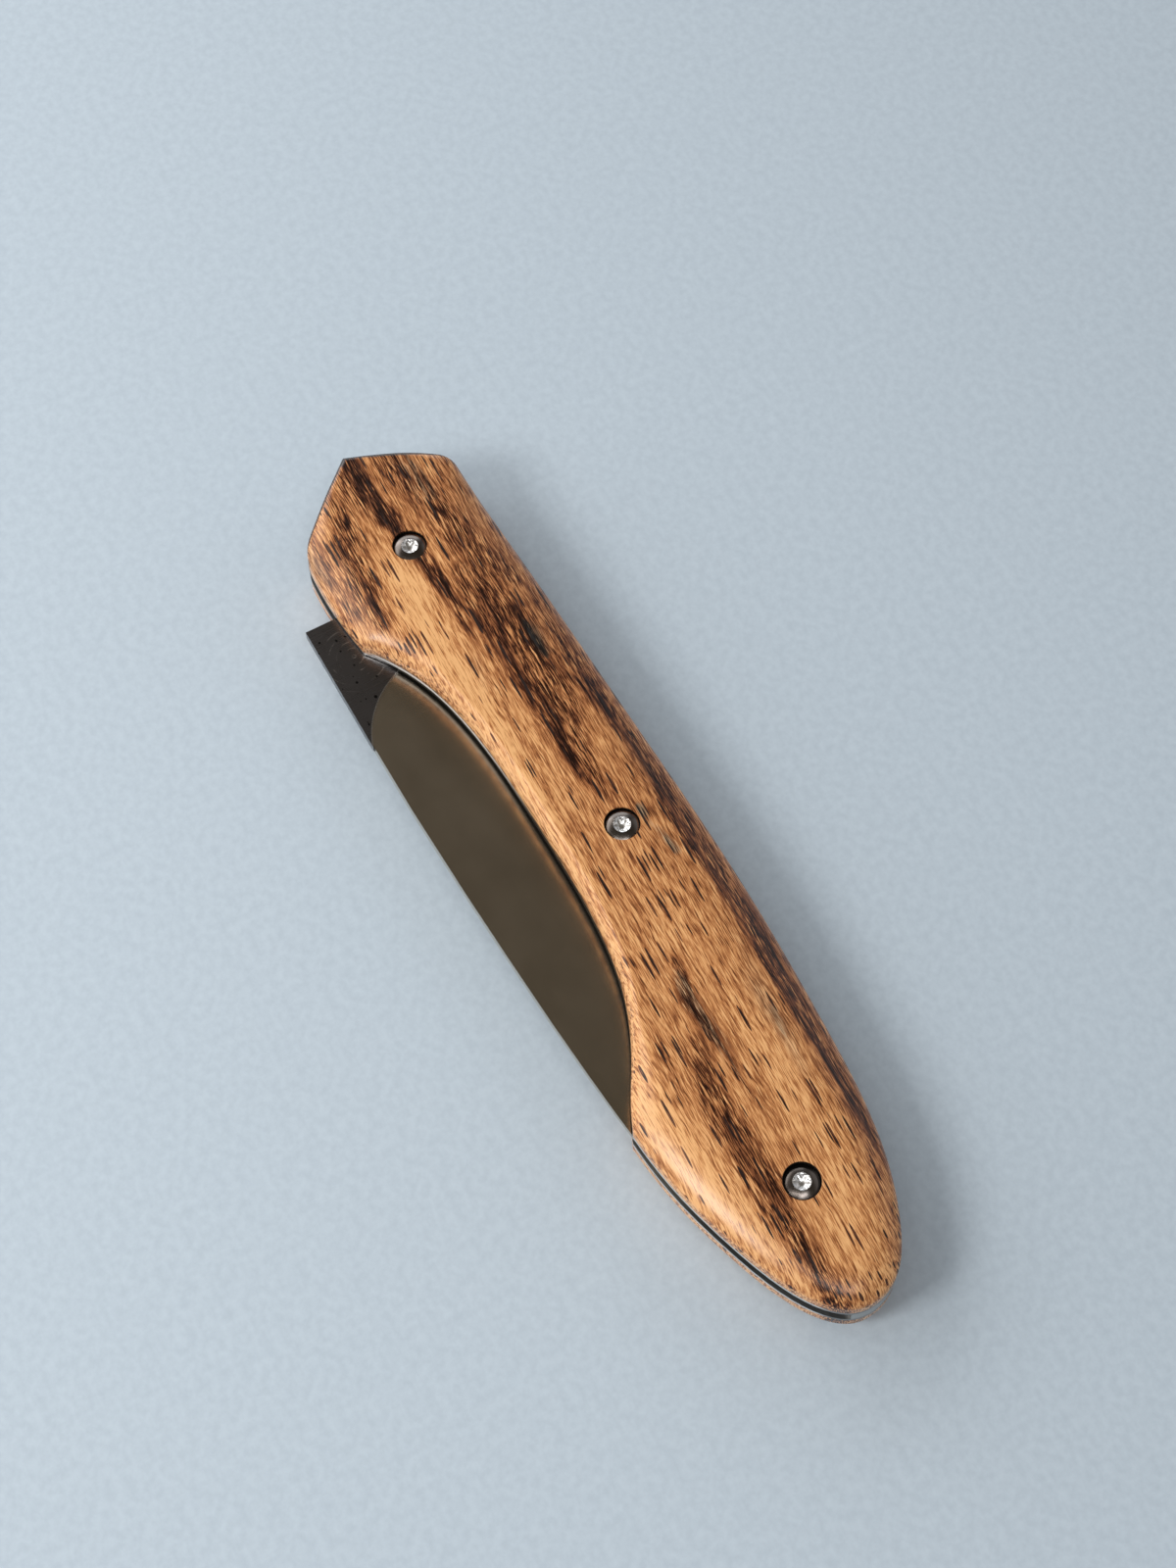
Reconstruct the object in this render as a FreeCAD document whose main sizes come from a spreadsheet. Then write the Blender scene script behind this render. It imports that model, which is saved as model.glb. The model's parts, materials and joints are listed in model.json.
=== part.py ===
import FreeCAD, Part
import math
import os

import Sketcher

# A slip-joint folding knife lying shut on its back scale.
# +X runs from the pivot end (head) to the butt, +Y from the blade side (belly) to the back,
# +Z up through the stack of scale, liner, blade, liner, scale.
# The origin is on the resting face, midway between the pivot screw and the rear screw.

# Driving dimensions, in millimetres.
SIZES = {
    # handle
    "handle_length": 118.2,
    "handle_width": 25.3,
    "head_corner_round": 2.5,
    "chin_round": 5.0,
    "scale_thickness": 4.0,
    "liner_thickness": 0.5,
    "mid_screw_rise": 3.9,
    # blade
    "blade_thickness": 1.4,
    "heel_setback": 2.1,
    "ricasso_length": 11.2,
    "plunge_radius": 12.0,
    "plunge_spine_setback": 19.5,
    "tip_setback": 2.0,
    "tang_flat": 6.0,
    "tang_corner_round": 3.0,
    "kick_length": 5.0,
    "kick_round": 1.5,
    "grind_relief": 0.03,
    "section_overlap": 1.0,
    # backspring
    "nose_clearance": 0.02,
    "stop_clearance": 0.05,
    "mid_lobe_radius": 3.1,
    "rear_lobe_radius": 3.2,
    # pivot, barrels and washers
    "pivot_radius": 2.0,
    "running_clearance": 0.03,
    "washer_radius": 4.6,
    "washer_thickness": 0.1,
    "side_clearance": 0.02,
    "barrel_radius": 1.75,
    "fit_clearance": 0.03,
    # screws
    "shank_radius": 1.0,
    "thread_clearance": 0.03,
    "shank_hole_clearance": 0.12,
    "thread_length": 1.2,
    "head_radius": 1.95,
    "head_height": 1.12,
    "head_rim": 0.5,
    "counterbore_radius": 2.05,
    "counterbore_depth": 1.17,
    "socket_radius": 0.8,
    "socket_lobe_radius": 0.24,
    "socket_depth": 0.7,
    # room that cuts run past a face
    "overrun": 5.0,
}

# Outline of the handle: smooth runs between corners, as shares of its length and width.
HEAD_END_SHARES = ((-0.5029, -0.0518), (-0.4872, 0.1356), (-0.4577, 0.4111))
BACK_SHARES = (
    (-0.4577, 0.4111), (-0.2873, 0.4500), (-0.1015, 0.4790), (0.1015, 0.4980), (0.2538, 0.4670),
    (0.3919, 0.3810), (0.4538, 0.2680), (0.4850, 0.1593), (0.4968, 0.0435), (0.4953, -0.0672),
    (0.4799, -0.1656), (0.4484, -0.2628), (0.3892, -0.3692), (0.3285, -0.4459), (0.2592, -0.4885),
)
CUT_OUT_SHARES = (
    (0.2592, -0.4885), (0.2315, -0.4280), (0.2030, -0.3500), (0.1371, -0.2140), (0.0680, -0.1560),
    (-0.0589, -0.1440), (-0.1858, -0.1820), (-0.2497, -0.2590), (-0.3076, -0.4150),
)
CHIN_SHARES = ((-0.3076, -0.4150), (-0.3604, -0.4420), (-0.4305, -0.4300))

# Stations of the screws: the pivot's distance from the rear one, and the middle one's place between them,
# as shares of the handle's length.
SCREW_SPAN_SHARE = 0.7529611
MID_SCREW_SHARE = 0.37056

# The crown of a scale: half of its flat strip as a share of the handle's width, where the strip starts to
# fall towards the butt as a share of the handle's length, and its falls at the widest rim and at the butt
# and the round of its rim as shares of the scale's thickness.
CROWN_FLAT_SHARE = 0.158
TAPER_START_SHARE = 0.2030
CROWN_FALL_SHARE = 0.35
BUTT_FALL_SHARE = 0.35
RIM_ROUND_SHARE = 0.34

# The blade's spine stands off the pivot line by a share of the handle's width.
SPINE_DROP_SHARE = 0.59684

# Blade sections from the plunge to the tip: place along the grind, spine and edge as shares of the spine's
# distance from the pivot line, and spine thickness as a share of the blade's.
BLADE_SECTION_SHARES = (
    (0.000, -1.000, 0.130, 1.00),
    (0.240, -0.990, 0.080, 0.96),
    (0.400, -0.962, 0.035, 0.92),
    (0.520, -0.932, -0.005, 0.88),
    (0.640, -0.897, -0.060, 0.83),
    (0.730, -0.863, -0.115, 0.77),
    (0.800, -0.832, -0.175, 0.71),
    (0.860, -0.798, -0.245, 0.64),
    (0.910, -0.756, -0.325, 0.56),
    (0.950, -0.705, -0.405, 0.47),
    (0.980, -0.645, -0.475, 0.36),
    (1.000, -0.565, -0.530, 0.24),
)
EDGE_BEVEL_SHARE = 0.045
EDGE_THICKNESS_SHARE = 0.16

# The plunge: how far its arc rises from the spine and a point on the way, as shares of its radius and rise.
PLUNGE_RISE_SHARE = 0.926
PLUNGE_VIA_SHARES = (0.25, 0.42)

# The crown's arc from its flat: its reach, its fall and a point on the way, as shares of its radius.
CROWN_REACH_SHARE = 0.8
CROWN_DROP_SHARE = 0.4
CROWN_VIA_SHARES = (0.6, 0.2)

# A point on the way up a screw's domed head.
DOME_VIA_SHARES = (0.6, 0.66)

# Where the spring's arms meet its lobes, as shares of a lobe's radius, and its tail on the handle's outline.
LOBE_LEFT_SHARES = (-0.8, 0.6)
LOBE_LOW_SHARES = (0.0, -1.0)
LOBE_RIGHT_SHARES = (0.8, 0.6)
LOBE_TAIL_SHARES = (0.6, -0.8)
TAIL_END_SHARES = (0.5076, -0.078)

LOBES = 6
TURN = 360.0
HALF_TURN = 180.0
PARALLEL = 0.001
SAME_PLACE = 0.01

doc = FreeCAD.newDocument("folding_knife")
sheet = doc.addObject("Spreadsheet::Sheet", "sizes")
for row, (alias, number) in enumerate(SIZES.items(), start=1):
    sheet.set("A%d" % row, alias)
    sheet.set("B%d" % row, str(number))
    sheet.setAlias("B%d" % row, alias)
doc.recompute()


class Size:
    """A length that knows its number and the sheet formula that it comes from."""

    def __init__(self, number, formula):
        self.number = number
        self.formula = formula

    def __add__(self, other):
        return Size(self.number + other.number, "(%s + %s)" % (self.formula, other.formula))

    def __sub__(self, other):
        return Size(self.number - other.number, "(%s - %s)" % (self.formula, other.formula))

    def __mul__(self, share):
        return Size(self.number * share, "(%s * %.9f)" % (self.formula, share))

    def __neg__(self):
        return self * -1


def size(alias):
    """The sheet's cell of that name."""
    return Size(sheet.get(alias), "sizes." + alias)


def arc_radius(run, drop):
    """The radius of an arc that falls away from its tangent by a drop over a run."""
    formula = "((%s ^ 2 + %s ^ 2) / %s * 0.5)" % (run.formula, drop.formula, drop.formula)
    return Size((run.number ** 2 + drop.number ** 2) / drop.number * 0.5, formula)


def arc_drop(run, radius):
    """How far an arc falls away from its tangent over a run."""
    formula = "(%s - sqrt(%s ^ 2 - %s ^ 2))" % (radius.formula, radius.formula, run.formula)
    return Size(radius.number - math.sqrt(radius.number ** 2 - run.number ** 2), formula)


ZERO = Size(0.0, "0")
AXIS_Z = FreeCAD.Vector(0, 0, 1)

half_length = size("handle_length") * 0.5
half_span = size("handle_length") * (SCREW_SPAN_SHARE * 0.5)
spine_drop = size("handle_width") * SPINE_DROP_SHARE
PIVOT = (-half_span, ZERO)
MID = (size("handle_length") * MID_SCREW_SHARE - half_span, size("mid_screw_rise"))
REAR = (half_span, ZERO)
STATIONS = {"pivot": PIVOT, "mid": MID, "rear": REAR}
BARREL_RADII = {"pivot": size("pivot_radius"), "mid": size("barrel_radius"), "rear": size("barrel_radius")}

# Heights of the stack, from the resting face up.
gap = size("blade_thickness") + (size("washer_thickness") + size("side_clearance")) * 2
back_liner_z = size("scale_thickness")
gap_z = back_liner_z + size("liner_thickness")
front_liner_z = gap_z + gap
front_scale_z = front_liner_z + size("liner_thickness")
blade_z = gap_z + gap * 0.5
barrel_length = gap + size("liner_thickness") * 2

# The crown's two arcs: across the handle, and along it from where the flat strip starts to fall.
crown_flat = size("handle_width") * CROWN_FLAT_SHARE
crown_radius = arc_radius(size("handle_width") * 0.5 - crown_flat, size("scale_thickness") * CROWN_FALL_SHARE)
taper_start = size("handle_length") * TAPER_START_SHARE
taper_radius = arc_radius(half_length - taper_start, size("scale_thickness") * BUTT_FALL_SHARE)

# The butt taper lowers the seat of the rear screws. Seats are heights of wood left over the liner.
full_seat = size("scale_thickness") - size("counterbore_depth")
rear_seat = full_seat - arc_drop(half_span - taper_start, taper_radius)
SEATS = {"pivot": full_seat, "mid": full_seat, "rear": rear_seat}


def vector(point):
    """A point's numbers as a vector in its sketch."""
    return FreeCAD.Vector(point[0].number, point[1].number, 0)


def around(centre, radius, shares):
    """The point at shares of a radius from a centre."""
    return (centre[0] + radius * shares[0], centre[1] + radius * shares[1])


class Drawing:
    """A sketch on one of its body's origin planes, with every point bound to the sheet."""

    def __init__(self, body, name, role="XY_Plane", offset=ZERO):
        self.sketch = body.newObject("Sketcher::SketchObject", body.Name + "_" + name)
        plane = [feature for feature in body.Origin.OriginFeatures if feature.Role == role][0]
        self.sketch.AttachmentSupport = [(plane, "")]
        self.sketch.MapMode = "FlatFace"
        self.sketch.setExpression("AttachmentOffset.Base.z", offset.formula)

    def relate(self, kind, *places):
        """Adds a relation without a dimension."""
        self.sketch.addConstraint(Sketcher.Constraint(kind, *places))

    def bind(self, kind, *places, value):
        """Adds a dimension and ties it to the sheet."""
        index = self.sketch.addConstraint(Sketcher.Constraint(kind, *places, value.number))
        self.sketch.setExpression("Constraints[%d]" % index, value.formula)

    def pin(self, place, point):
        """Fixes one place of the sketch at a point."""
        self.bind("DistanceX", *place, value=point[0])
        self.bind("DistanceY", *place, value=point[1])

    def circle(self, centre, radius):
        """A full circle."""
        index = self.sketch.addGeometry(Part.Circle(vector(centre), AXIS_Z, radius.number), False)
        self.pin((index, 3), centre)
        self.bind("Radius", index, value=radius)

    def line(self, start, end):
        """A straight run; gives the places of its two ends."""
        index = self.sketch.addGeometry(Part.LineSegment(vector(start), vector(end)), False)
        return (index, 1), (index, 2)

    def arc(self, start, end, via):
        """A round run past a point; gives the places of its two ends."""
        left_turn = (vector(via) - vector(start)).cross(vector(end) - vector(via)).z > 0
        first, last = (start, end) if left_turn else (end, start)
        index = self.sketch.addGeometry(Part.Arc(vector(first), vector(via), vector(last)), False)
        return ((index, 1), (index, 2)) if left_turn else ((index, 2), (index, 1))

    def spline(self, points):
        """A smooth run through points of the handle's outline; its poles are shares of length and width."""
        curve = Part.BSplineCurve()
        curve.interpolate([vector(point) for point in points])
        index = self.sketch.addGeometry(curve, False)
        self.sketch.exposeInternalGeometry(index)
        length, width = size("handle_length"), size("handle_width")
        inner_poles = curve.getPoles()[1:-1]
        for place, pole in enumerate(inner_poles, start=index + 2):
            self.pin((place, 3), (length * (pole.x / length.number), width * (pole.y / width.number)))
        return (index, 1), (index, 2)

    def loop(self, runs):
        """A closed outline of runs, each with its start and, if it is round, how it goes on."""
        ends = []
        for run, following in zip(runs, runs[1:] + runs[:1]):
            start, end = run["start"], following["start"]
            if "through" in run:
                places = self.spline([start] + run["through"] + [end])
            elif "via" in run:
                places = self.arc(start, end, run["via"])
            else:
                places = self.line(start, end)
            if "radius" in run:
                self.bind("Radius", places[0][0], value=run["radius"])
            if "on_axis" in run:
                self.relate("PointOnObject", places[0][0], 3, -2)
            ends.append(places)
        for run, places, following in zip(runs, ends, ends[1:] + ends[:1]):
            self.pin(places[0], run["start"])
            self.relate("Coincident", *places[1], *following[0])


def new_body(label, position):
    """A body with a label and a bound place."""
    body = doc.addObject("PartDesign::Body", label)
    body.Label = label
    for letter, value in zip("xyz", position):
        body.setExpression("Placement.Base." + letter, value.formula)
    return body


def pad(body, drawing, length, reverse=False, midplane=False):
    """Raises a drawing by a length."""
    feature = body.newObject("PartDesign::Pad", body.Name + "_pad")
    feature.Profile = drawing.sketch
    feature.setExpression("Length", length.formula)
    feature.Reversed = reverse
    feature.Midplane = midplane
    doc.recompute()
    return feature


def pocket(body, drawing, length, reverse=False):
    """Sinks a drawing by a length and makes sure that it takes material away."""
    before = body.Shape.Volume
    feature = body.newObject("PartDesign::Pocket", body.Name + "_pocket")
    feature.Profile = drawing.sketch
    feature.setExpression("Length", length.formula)
    feature.Reversed = reverse
    doc.recompute()
    if body.Shape.Volume >= before:
        raise RuntimeError(feature.Name + " cuts nothing")
    return feature


def fillet(body, edges, radius):
    """Rounds edges of the body's last feature."""
    base = body.Tip
    feature = body.newObject("PartDesign::Fillet", body.Name + "_fillet")
    feature.Base = (base, edges)
    feature.setExpression("Radius", radius.formula)
    doc.recompute()
    return feature


def upright_edges(body, point):
    """Names of the upright edges that stand at a point of the plan."""
    shape = body.Tip.Shape
    names = []
    for number, edge in enumerate(shape.Edges, start=1):
        middle = edge.CenterOfMass
        upright = abs(edge.tangentAt(edge.FirstParameter).z) > 1 - PARALLEL
        here = math.hypot(middle.x - point[0].number, middle.y - point[1].number) < SAME_PLACE
        if upright and here:
            names.append("Edge%d" % number)
    return names


def outline_points(shares):
    """Outline shares as points in the handle's length and width."""
    return [(size("handle_length") * along, size("handle_width") * across) for along, across in shares]


def handle_runs():
    """The outline that scales, liners and spring share, from the head point round by the back."""
    runs = []
    for shares in (HEAD_END_SHARES, BACK_SHARES, CUT_OUT_SHARES, CHIN_SHARES):
        points = outline_points(shares)
        runs.append({"start": points[0], "through": points[1:-1]})
    runs.append({"start": outline_points(CHIN_SHARES)[-1]})
    return runs


def round_head(body):
    """Rounds the two obtuse corners of the head."""
    fillet(body, upright_edges(body, outline_points(BACK_SHARES)[0]), size("head_corner_round"))
    fillet(body, upright_edges(body, outline_points(CHIN_SHARES)[-1]), size("chin_round"))


def make_liner(label, height):
    """A steel plate with holes for the three barrels."""
    body = new_body(label, (ZERO, ZERO, height))
    plan = Drawing(body, "plan")
    plan.loop(handle_runs())
    for station, place in STATIONS.items():
        plan.circle(place, BARREL_RADII[station] + size("fit_clearance"))
    pad(body, plan, size("liner_thickness"))
    round_head(body)
    return body


def rim_edges(body):
    """Names of the edges where the crowned face of a scale meets its walls."""
    shape = body.Tip.Shape
    walls = [face for face in shape.Faces if abs(face.normalAt(*middle_of(face)).z) < PARALLEL]
    wall_edges = [edge for face in walls for edge in face.Edges]
    names = []
    for number, edge in enumerate(shape.Edges, start=1):
        off_liner = min(abs(vertex.Z) for vertex in edge.Vertexes) > PARALLEL
        if off_liner and any(edge.isSame(other) for other in wall_edges):
            names.append("Edge%d" % number)
    return names


def middle_of(face):
    """The parameters of the middle of a face."""
    low_u, high_u, low_v, high_v = face.ParameterRange
    return (low_u + high_u) / 2, (low_v + high_v) / 2


def make_scale(label, height, side):
    """A wooden scale: its outline, a crown swept along a line that bends down over the butt, and screw seats.

    side is 1 where the crown faces up and -1 where it faces down.
    """
    body = new_body(label, (ZERO, ZERO, height))
    top = size("scale_thickness") * side
    plan = Drawing(body, "plan")
    plan.loop(handle_runs())
    pad(body, plan, size("scale_thickness") + size("overrun"), reverse=side < 0)
    round_head(body)

    reach = half_length + size("overrun")
    path = Drawing(body, "crown_path", "XZ_Plane")
    bend = (taper_start, top)
    far_end = (reach, top - arc_drop(reach - taper_start, taper_radius) * side)
    half_run = (reach - taper_start) * 0.5
    half_way = (bend[0] + half_run, top - arc_drop(half_run, taper_radius) * side)
    level = path.line((-reach, top), bend)
    falling = path.arc(bend, far_end, half_way)
    path.pin(level[0], (-reach, top))
    path.pin(level[1], bend)
    path.relate("Coincident", *level[1], *falling[0])
    path.pin(falling[1], far_end)
    path.bind("Radius", falling[0][0], value=taper_radius)

    crown = Drawing(body, "crown", "YZ_Plane", -reach)
    out = crown_flat + crown_radius * CROWN_REACH_SHARE
    low = top - crown_radius * (CROWN_DROP_SHARE * side)
    high = top + size("overrun") * (2 * side)
    via = (crown_flat + crown_radius * CROWN_VIA_SHARES[0],
           top - crown_radius * (CROWN_VIA_SHARES[1] * side))
    crown.loop([
        {"start": (-out, high)},
        {"start": (out, high)},
        {"start": (out, low), "via": via, "radius": crown_radius},
        {"start": (crown_flat, top)},
        {"start": (-crown_flat, top), "via": (-via[0], via[1]), "radius": crown_radius},
        {"start": (-out, low)},
    ])
    sweep = body.newObject("PartDesign::SubtractivePipe", label + "_sweep")
    sweep.Profile = crown.sketch
    sweep.Spine = (path.sketch, ["Edge1", "Edge2"])
    doc.recompute()
    fillet(body, rim_edges(body), size("scale_thickness") * RIM_ROUND_SHARE)

    for station, place in STATIONS.items():
        seat = Drawing(body, station + "_seat", offset=SEATS[station] * side)
        seat.circle(place, size("counterbore_radius"))
        pocket(body, seat, size("scale_thickness") + size("overrun"), reverse=side > 0)
        hole = Drawing(body, station + "_hole")
        hole.circle(place, size("shank_radius") + size("shank_hole_clearance"))
        pocket(body, hole, size("scale_thickness"), reverse=side > 0)
    return body


def make_blade():
    """The blade: a square tang and ricasso of full thickness, and a flat grind lofted out to the tip."""
    body = new_body("blade", (ZERO, ZERO, blade_z))
    spine = -spine_drop
    flat = size("tang_flat")
    heel_x = PIVOT[0] + size("heel_setback")
    plunge_x = PIVOT[0] + size("ricasso_length")
    plunge_top = PIVOT[0] + size("plunge_spine_setback")
    edge_y = spine_drop * BLADE_SECTION_SHARES[0][2] + size("grind_relief")
    turn_y = spine + size("plunge_radius") * PLUNGE_RISE_SHARE
    via = (plunge_x + (plunge_top - plunge_x) * PLUNGE_VIA_SHARES[0],
           spine + size("plunge_radius") * (PLUNGE_RISE_SHARE * PLUNGE_VIA_SHARES[1]))
    kick_end = PIVOT[0] + size("kick_length")
    square = [(PIVOT[0] - flat, flat), (PIVOT[0] - flat, -flat)]
    tang = Drawing(body, "tang")
    tang.loop([
        {"start": square[0]},
        {"start": (kick_end, flat)},
        {"start": (plunge_x - size("section_overlap"), edge_y)},
        {"start": (plunge_x, edge_y)},
        {"start": (plunge_x, turn_y), "via": via, "radius": size("plunge_radius")},
        {"start": (plunge_top, spine)},
        {"start": (heel_x, spine)},
        {"start": (heel_x, -flat)},
        {"start": square[1]},
    ])
    tang.circle(PIVOT, size("pivot_radius") + size("running_clearance"))
    pad(body, tang, size("blade_thickness"), midplane=True)
    fillet(body, upright_edges(body, square[0]) + upright_edges(body, square[1]), size("tang_corner_round"))
    fillet(body, upright_edges(body, (kick_end, flat)), size("kick_round"))

    start_x = plunge_x - size("section_overlap")
    grind = half_span - size("tip_setback") - start_x
    sections = []
    for number, (along, spine_share, edge_share, thickness_share) in enumerate(BLADE_SECTION_SHARES, start=1):
        section = Drawing(body, "section_%d" % number, "YZ_Plane", start_x + grind * along)
        back = spine_drop * spine_share + size("grind_relief")
        edge = spine_drop * edge_share
        shoulder = edge - (edge - back) * EDGE_BEVEL_SHARE
        half = size("blade_thickness") * (thickness_share * 0.5) - size("grind_relief")
        thin = half * EDGE_THICKNESS_SHARE
        section.loop([
            {"start": (back, -half)},
            {"start": (shoulder, -thin)},
            {"start": (edge, ZERO)},
            {"start": (shoulder, thin)},
            {"start": (back, half)},
        ])
        sections.append(section.sketch)
    loft = body.newObject("PartDesign::AdditiveLoft", "blade_loft")
    loft.Profile = sections[0]
    loft.Sections = sections[1:]
    loft.Ruled = True
    doc.recompute()
    return body


def make_backspring():
    """The spring that fills the back of the slot: the handle's outline less the well for the blade."""
    body = new_body("backspring", (ZERO, ZERO, gap_z + size("side_clearance")))
    thickness = gap - size("side_clearance") * 2
    plan = Drawing(body, "plan")
    plan.loop(handle_runs())
    for station in ("mid", "rear"):
        plan.circle(STATIONS[station], BARREL_RADII[station] + size("fit_clearance"))
    pad(body, plan, thickness)

    outside = half_length + size("overrun")
    beyond = size("handle_width")
    nose_x = PIVOT[0] - size("heel_setback") + size("stop_clearance")
    nose_y = size("tang_flat") + size("nose_clearance")
    tail = outline_points([TAIL_END_SHARES])[0]
    mid_lobe = size("mid_lobe_radius")
    rear_lobe = size("rear_lobe_radius")
    well = Drawing(body, "well")
    well.loop([
        {"start": (nose_x, beyond)},
        {"start": (nose_x, nose_y)},
        {"start": (PIVOT[0] + size("kick_length"), nose_y)},
        {"start": around(MID, mid_lobe, LOBE_LEFT_SHARES), "via": around(MID, mid_lobe, LOBE_LOW_SHARES),
         "radius": mid_lobe},
        {"start": around(MID, mid_lobe, LOBE_RIGHT_SHARES)},
        {"start": around(REAR, rear_lobe, LOBE_LEFT_SHARES), "via": around(REAR, rear_lobe, LOBE_LOW_SHARES),
         "radius": rear_lobe},
        {"start": around(REAR, rear_lobe, LOBE_TAIL_SHARES)},
        {"start": tail},
        {"start": (outside, -beyond)},
        {"start": (-outside, -beyond)},
        {"start": (-outside, beyond)},
    ])
    pocket(body, well, thickness, reverse=True)
    return body


def make_ring(label, place, height, inner, outer, length):
    """A plain ring: a barrel or a washer."""
    body = new_body(label, place + (height,))
    section = Drawing(body, "section")
    section.circle((ZERO, ZERO), outer)
    section.circle((ZERO, ZERO), inner)
    pad(body, section, length)
    return body


def make_screw(label, station, side):
    """A button-head screw with a six-lobe socket, seated in its counterbore."""
    place = STATIONS[station]
    seat = front_scale_z + SEATS[station] if side > 0 else size("scale_thickness") - SEATS[station]
    body = new_body(label, place + (seat,))
    if side < 0:
        body.Placement.Rotation = FreeCAD.Rotation(FreeCAD.Vector(1, 0, 0), HALF_TURN)
    shank = SEATS[station] + size("thread_length")
    dome_via = (size("head_radius") * DOME_VIA_SHARES[0],
                size("head_rim") + (size("head_height") - size("head_rim")) * DOME_VIA_SHARES[1])
    profile = Drawing(body, "profile", "XZ_Plane")
    profile.loop([
        {"start": (ZERO, -shank)},
        {"start": (size("shank_radius"), -shank)},
        {"start": (size("shank_radius"), ZERO)},
        {"start": (size("head_radius"), ZERO)},
        {"start": (size("head_radius"), size("head_rim")), "via": dome_via, "on_axis": True},
        {"start": (ZERO, size("head_height"))},
    ])
    turned = body.newObject("PartDesign::Revolution", label + "_turned")
    turned.Profile = profile.sketch
    turned.ReferenceAxis = (profile.sketch, ["V_Axis"])
    turned.Angle = TURN
    doc.recompute()
    core = Drawing(body, "socket", offset=size("head_height"))
    core.circle((ZERO, ZERO), size("socket_radius"))
    pocket(body, core, size("socket_depth"))
    lobe = Drawing(body, "lobe", offset=size("head_height"))
    lobe.circle((size("socket_radius"), ZERO), size("socket_lobe_radius"))
    lobe_pocket = pocket(body, lobe, size("socket_depth"))
    pattern = body.newObject("PartDesign::PolarPattern", label + "_lobes")
    pattern.Originals = [lobe_pocket]
    pattern.Axis = (lobe.sketch, ["N_Axis"])
    pattern.Angle = TURN
    pattern.Occurrences = LOBES
    body.Tip = pattern
    doc.recompute()
    return body


bodies = [
    make_liner("back_liner", back_liner_z),
    make_liner("front_liner", front_liner_z),
    make_scale("back_scale", back_liner_z, -1),
    make_scale("front_scale", front_scale_z, 1),
    make_blade(),
    make_backspring(),
]
for station, place in STATIONS.items():
    bore = size("shank_radius") + size("thread_clearance")
    outer = BARREL_RADII[station]
    bodies.append(make_ring(station + "_barrel", place, back_liner_z, bore, outer, barrel_length))
    bodies.append(make_screw(station + "_front_screw", station, 1))
    bodies.append(make_screw(station + "_back_screw", station, -1))
for label, height in (("back_washer", gap_z), ("front_washer", front_liner_z - size("washer_thickness"))):
    inner = size("pivot_radius") + size("fit_clearance")
    bodies.append(make_ring(label, PIVOT, height, inner, size("washer_radius"), size("washer_thickness")))

doc.recompute()
for item in doc.Objects:
    if "Invalid" in item.State or "Error" in item.State:
        raise RuntimeError(item.Name + " failed: " + str(item.State))
for body in bodies:
    if body.Shape.isNull() or not body.Shape.isValid() or len(body.Shape.Solids) != 1:
        raise RuntimeError(body.Label + " is not one valid solid")

os.makedirs("parts", exist_ok=True)
for body in bodies:
    body.Shape.exportStep("parts/%s.step" % body.Label)
    print(body.Label, "volume", round(body.Shape.Volume, 3))
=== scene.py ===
# %% [markdown]
# # A folding pocket knife, shut, on pale paper
# The knife has two crowned wooden scales, steel liners, a backspring and one steel blade.
# The solids come from the CAD model as a fixed frame, in metres: +X runs from the pivot end to the butt,
# +Y from the blade side to the back and +Z up through the thickness. This script gives them their looks.
# Sizes of the knife are written in millimetres.

# %% Load the frame
import json

import bmesh
import bpy
import numpy as np
from mathutils import Matrix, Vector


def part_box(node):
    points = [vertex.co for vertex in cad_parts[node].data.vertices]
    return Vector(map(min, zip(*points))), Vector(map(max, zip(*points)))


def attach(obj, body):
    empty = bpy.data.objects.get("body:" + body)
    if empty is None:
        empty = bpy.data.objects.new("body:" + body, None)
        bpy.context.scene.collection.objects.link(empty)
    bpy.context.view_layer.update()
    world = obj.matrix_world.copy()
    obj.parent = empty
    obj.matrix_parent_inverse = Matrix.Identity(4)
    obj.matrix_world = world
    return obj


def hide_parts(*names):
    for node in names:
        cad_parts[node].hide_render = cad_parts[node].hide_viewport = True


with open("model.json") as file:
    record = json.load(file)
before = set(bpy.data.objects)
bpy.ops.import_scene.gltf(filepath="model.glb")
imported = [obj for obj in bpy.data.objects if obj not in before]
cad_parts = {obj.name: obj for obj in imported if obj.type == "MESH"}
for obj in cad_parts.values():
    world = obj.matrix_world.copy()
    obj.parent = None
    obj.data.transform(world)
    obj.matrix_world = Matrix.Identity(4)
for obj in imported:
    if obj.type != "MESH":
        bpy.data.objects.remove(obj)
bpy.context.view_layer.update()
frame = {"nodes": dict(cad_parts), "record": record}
nodes = frame["nodes"]
print("pieces in the frame:", len(nodes))

# %% [markdown]
# ## The camera
# The picture looks down on the knife from beyond its butt, turned so that the head points to the upper left.
# A camera can be aimed with a constraint, but its three axes are known here, so they are written straight
# into a matrix: right, up and backward are its columns. The lens is given for the long side of the image.

# %% Camera
RIGHT = (0.4864, 0.8738, 0.0)
UP = (-0.7785, 0.4334, 0.4540)
BACKWARD = (0.3967, -0.2208, 0.8910)
EYE = (0.1151, -0.0649, 0.28454)
FOCAL_LENGTH, SENSOR_WIDTH = 63.0, 36.0
NEAREST_SEEN = 0.01

scene = bpy.context.scene
lens = bpy.data.cameras.new("photo_camera")
lens.lens = FOCAL_LENGTH
lens.sensor_width = SENSOR_WIDTH
lens.clip_start = NEAREST_SEEN
camera = bpy.data.objects.new("photo_camera", lens)
camera.matrix_world = Matrix([*zip(RIGHT, UP, BACKWARD, EYE), (0, 0, 0, 1)])
scene.collection.objects.link(camera)
scene.camera = camera
scene.view_settings.view_transform = "Standard"
print("camera at", EYE)

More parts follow.
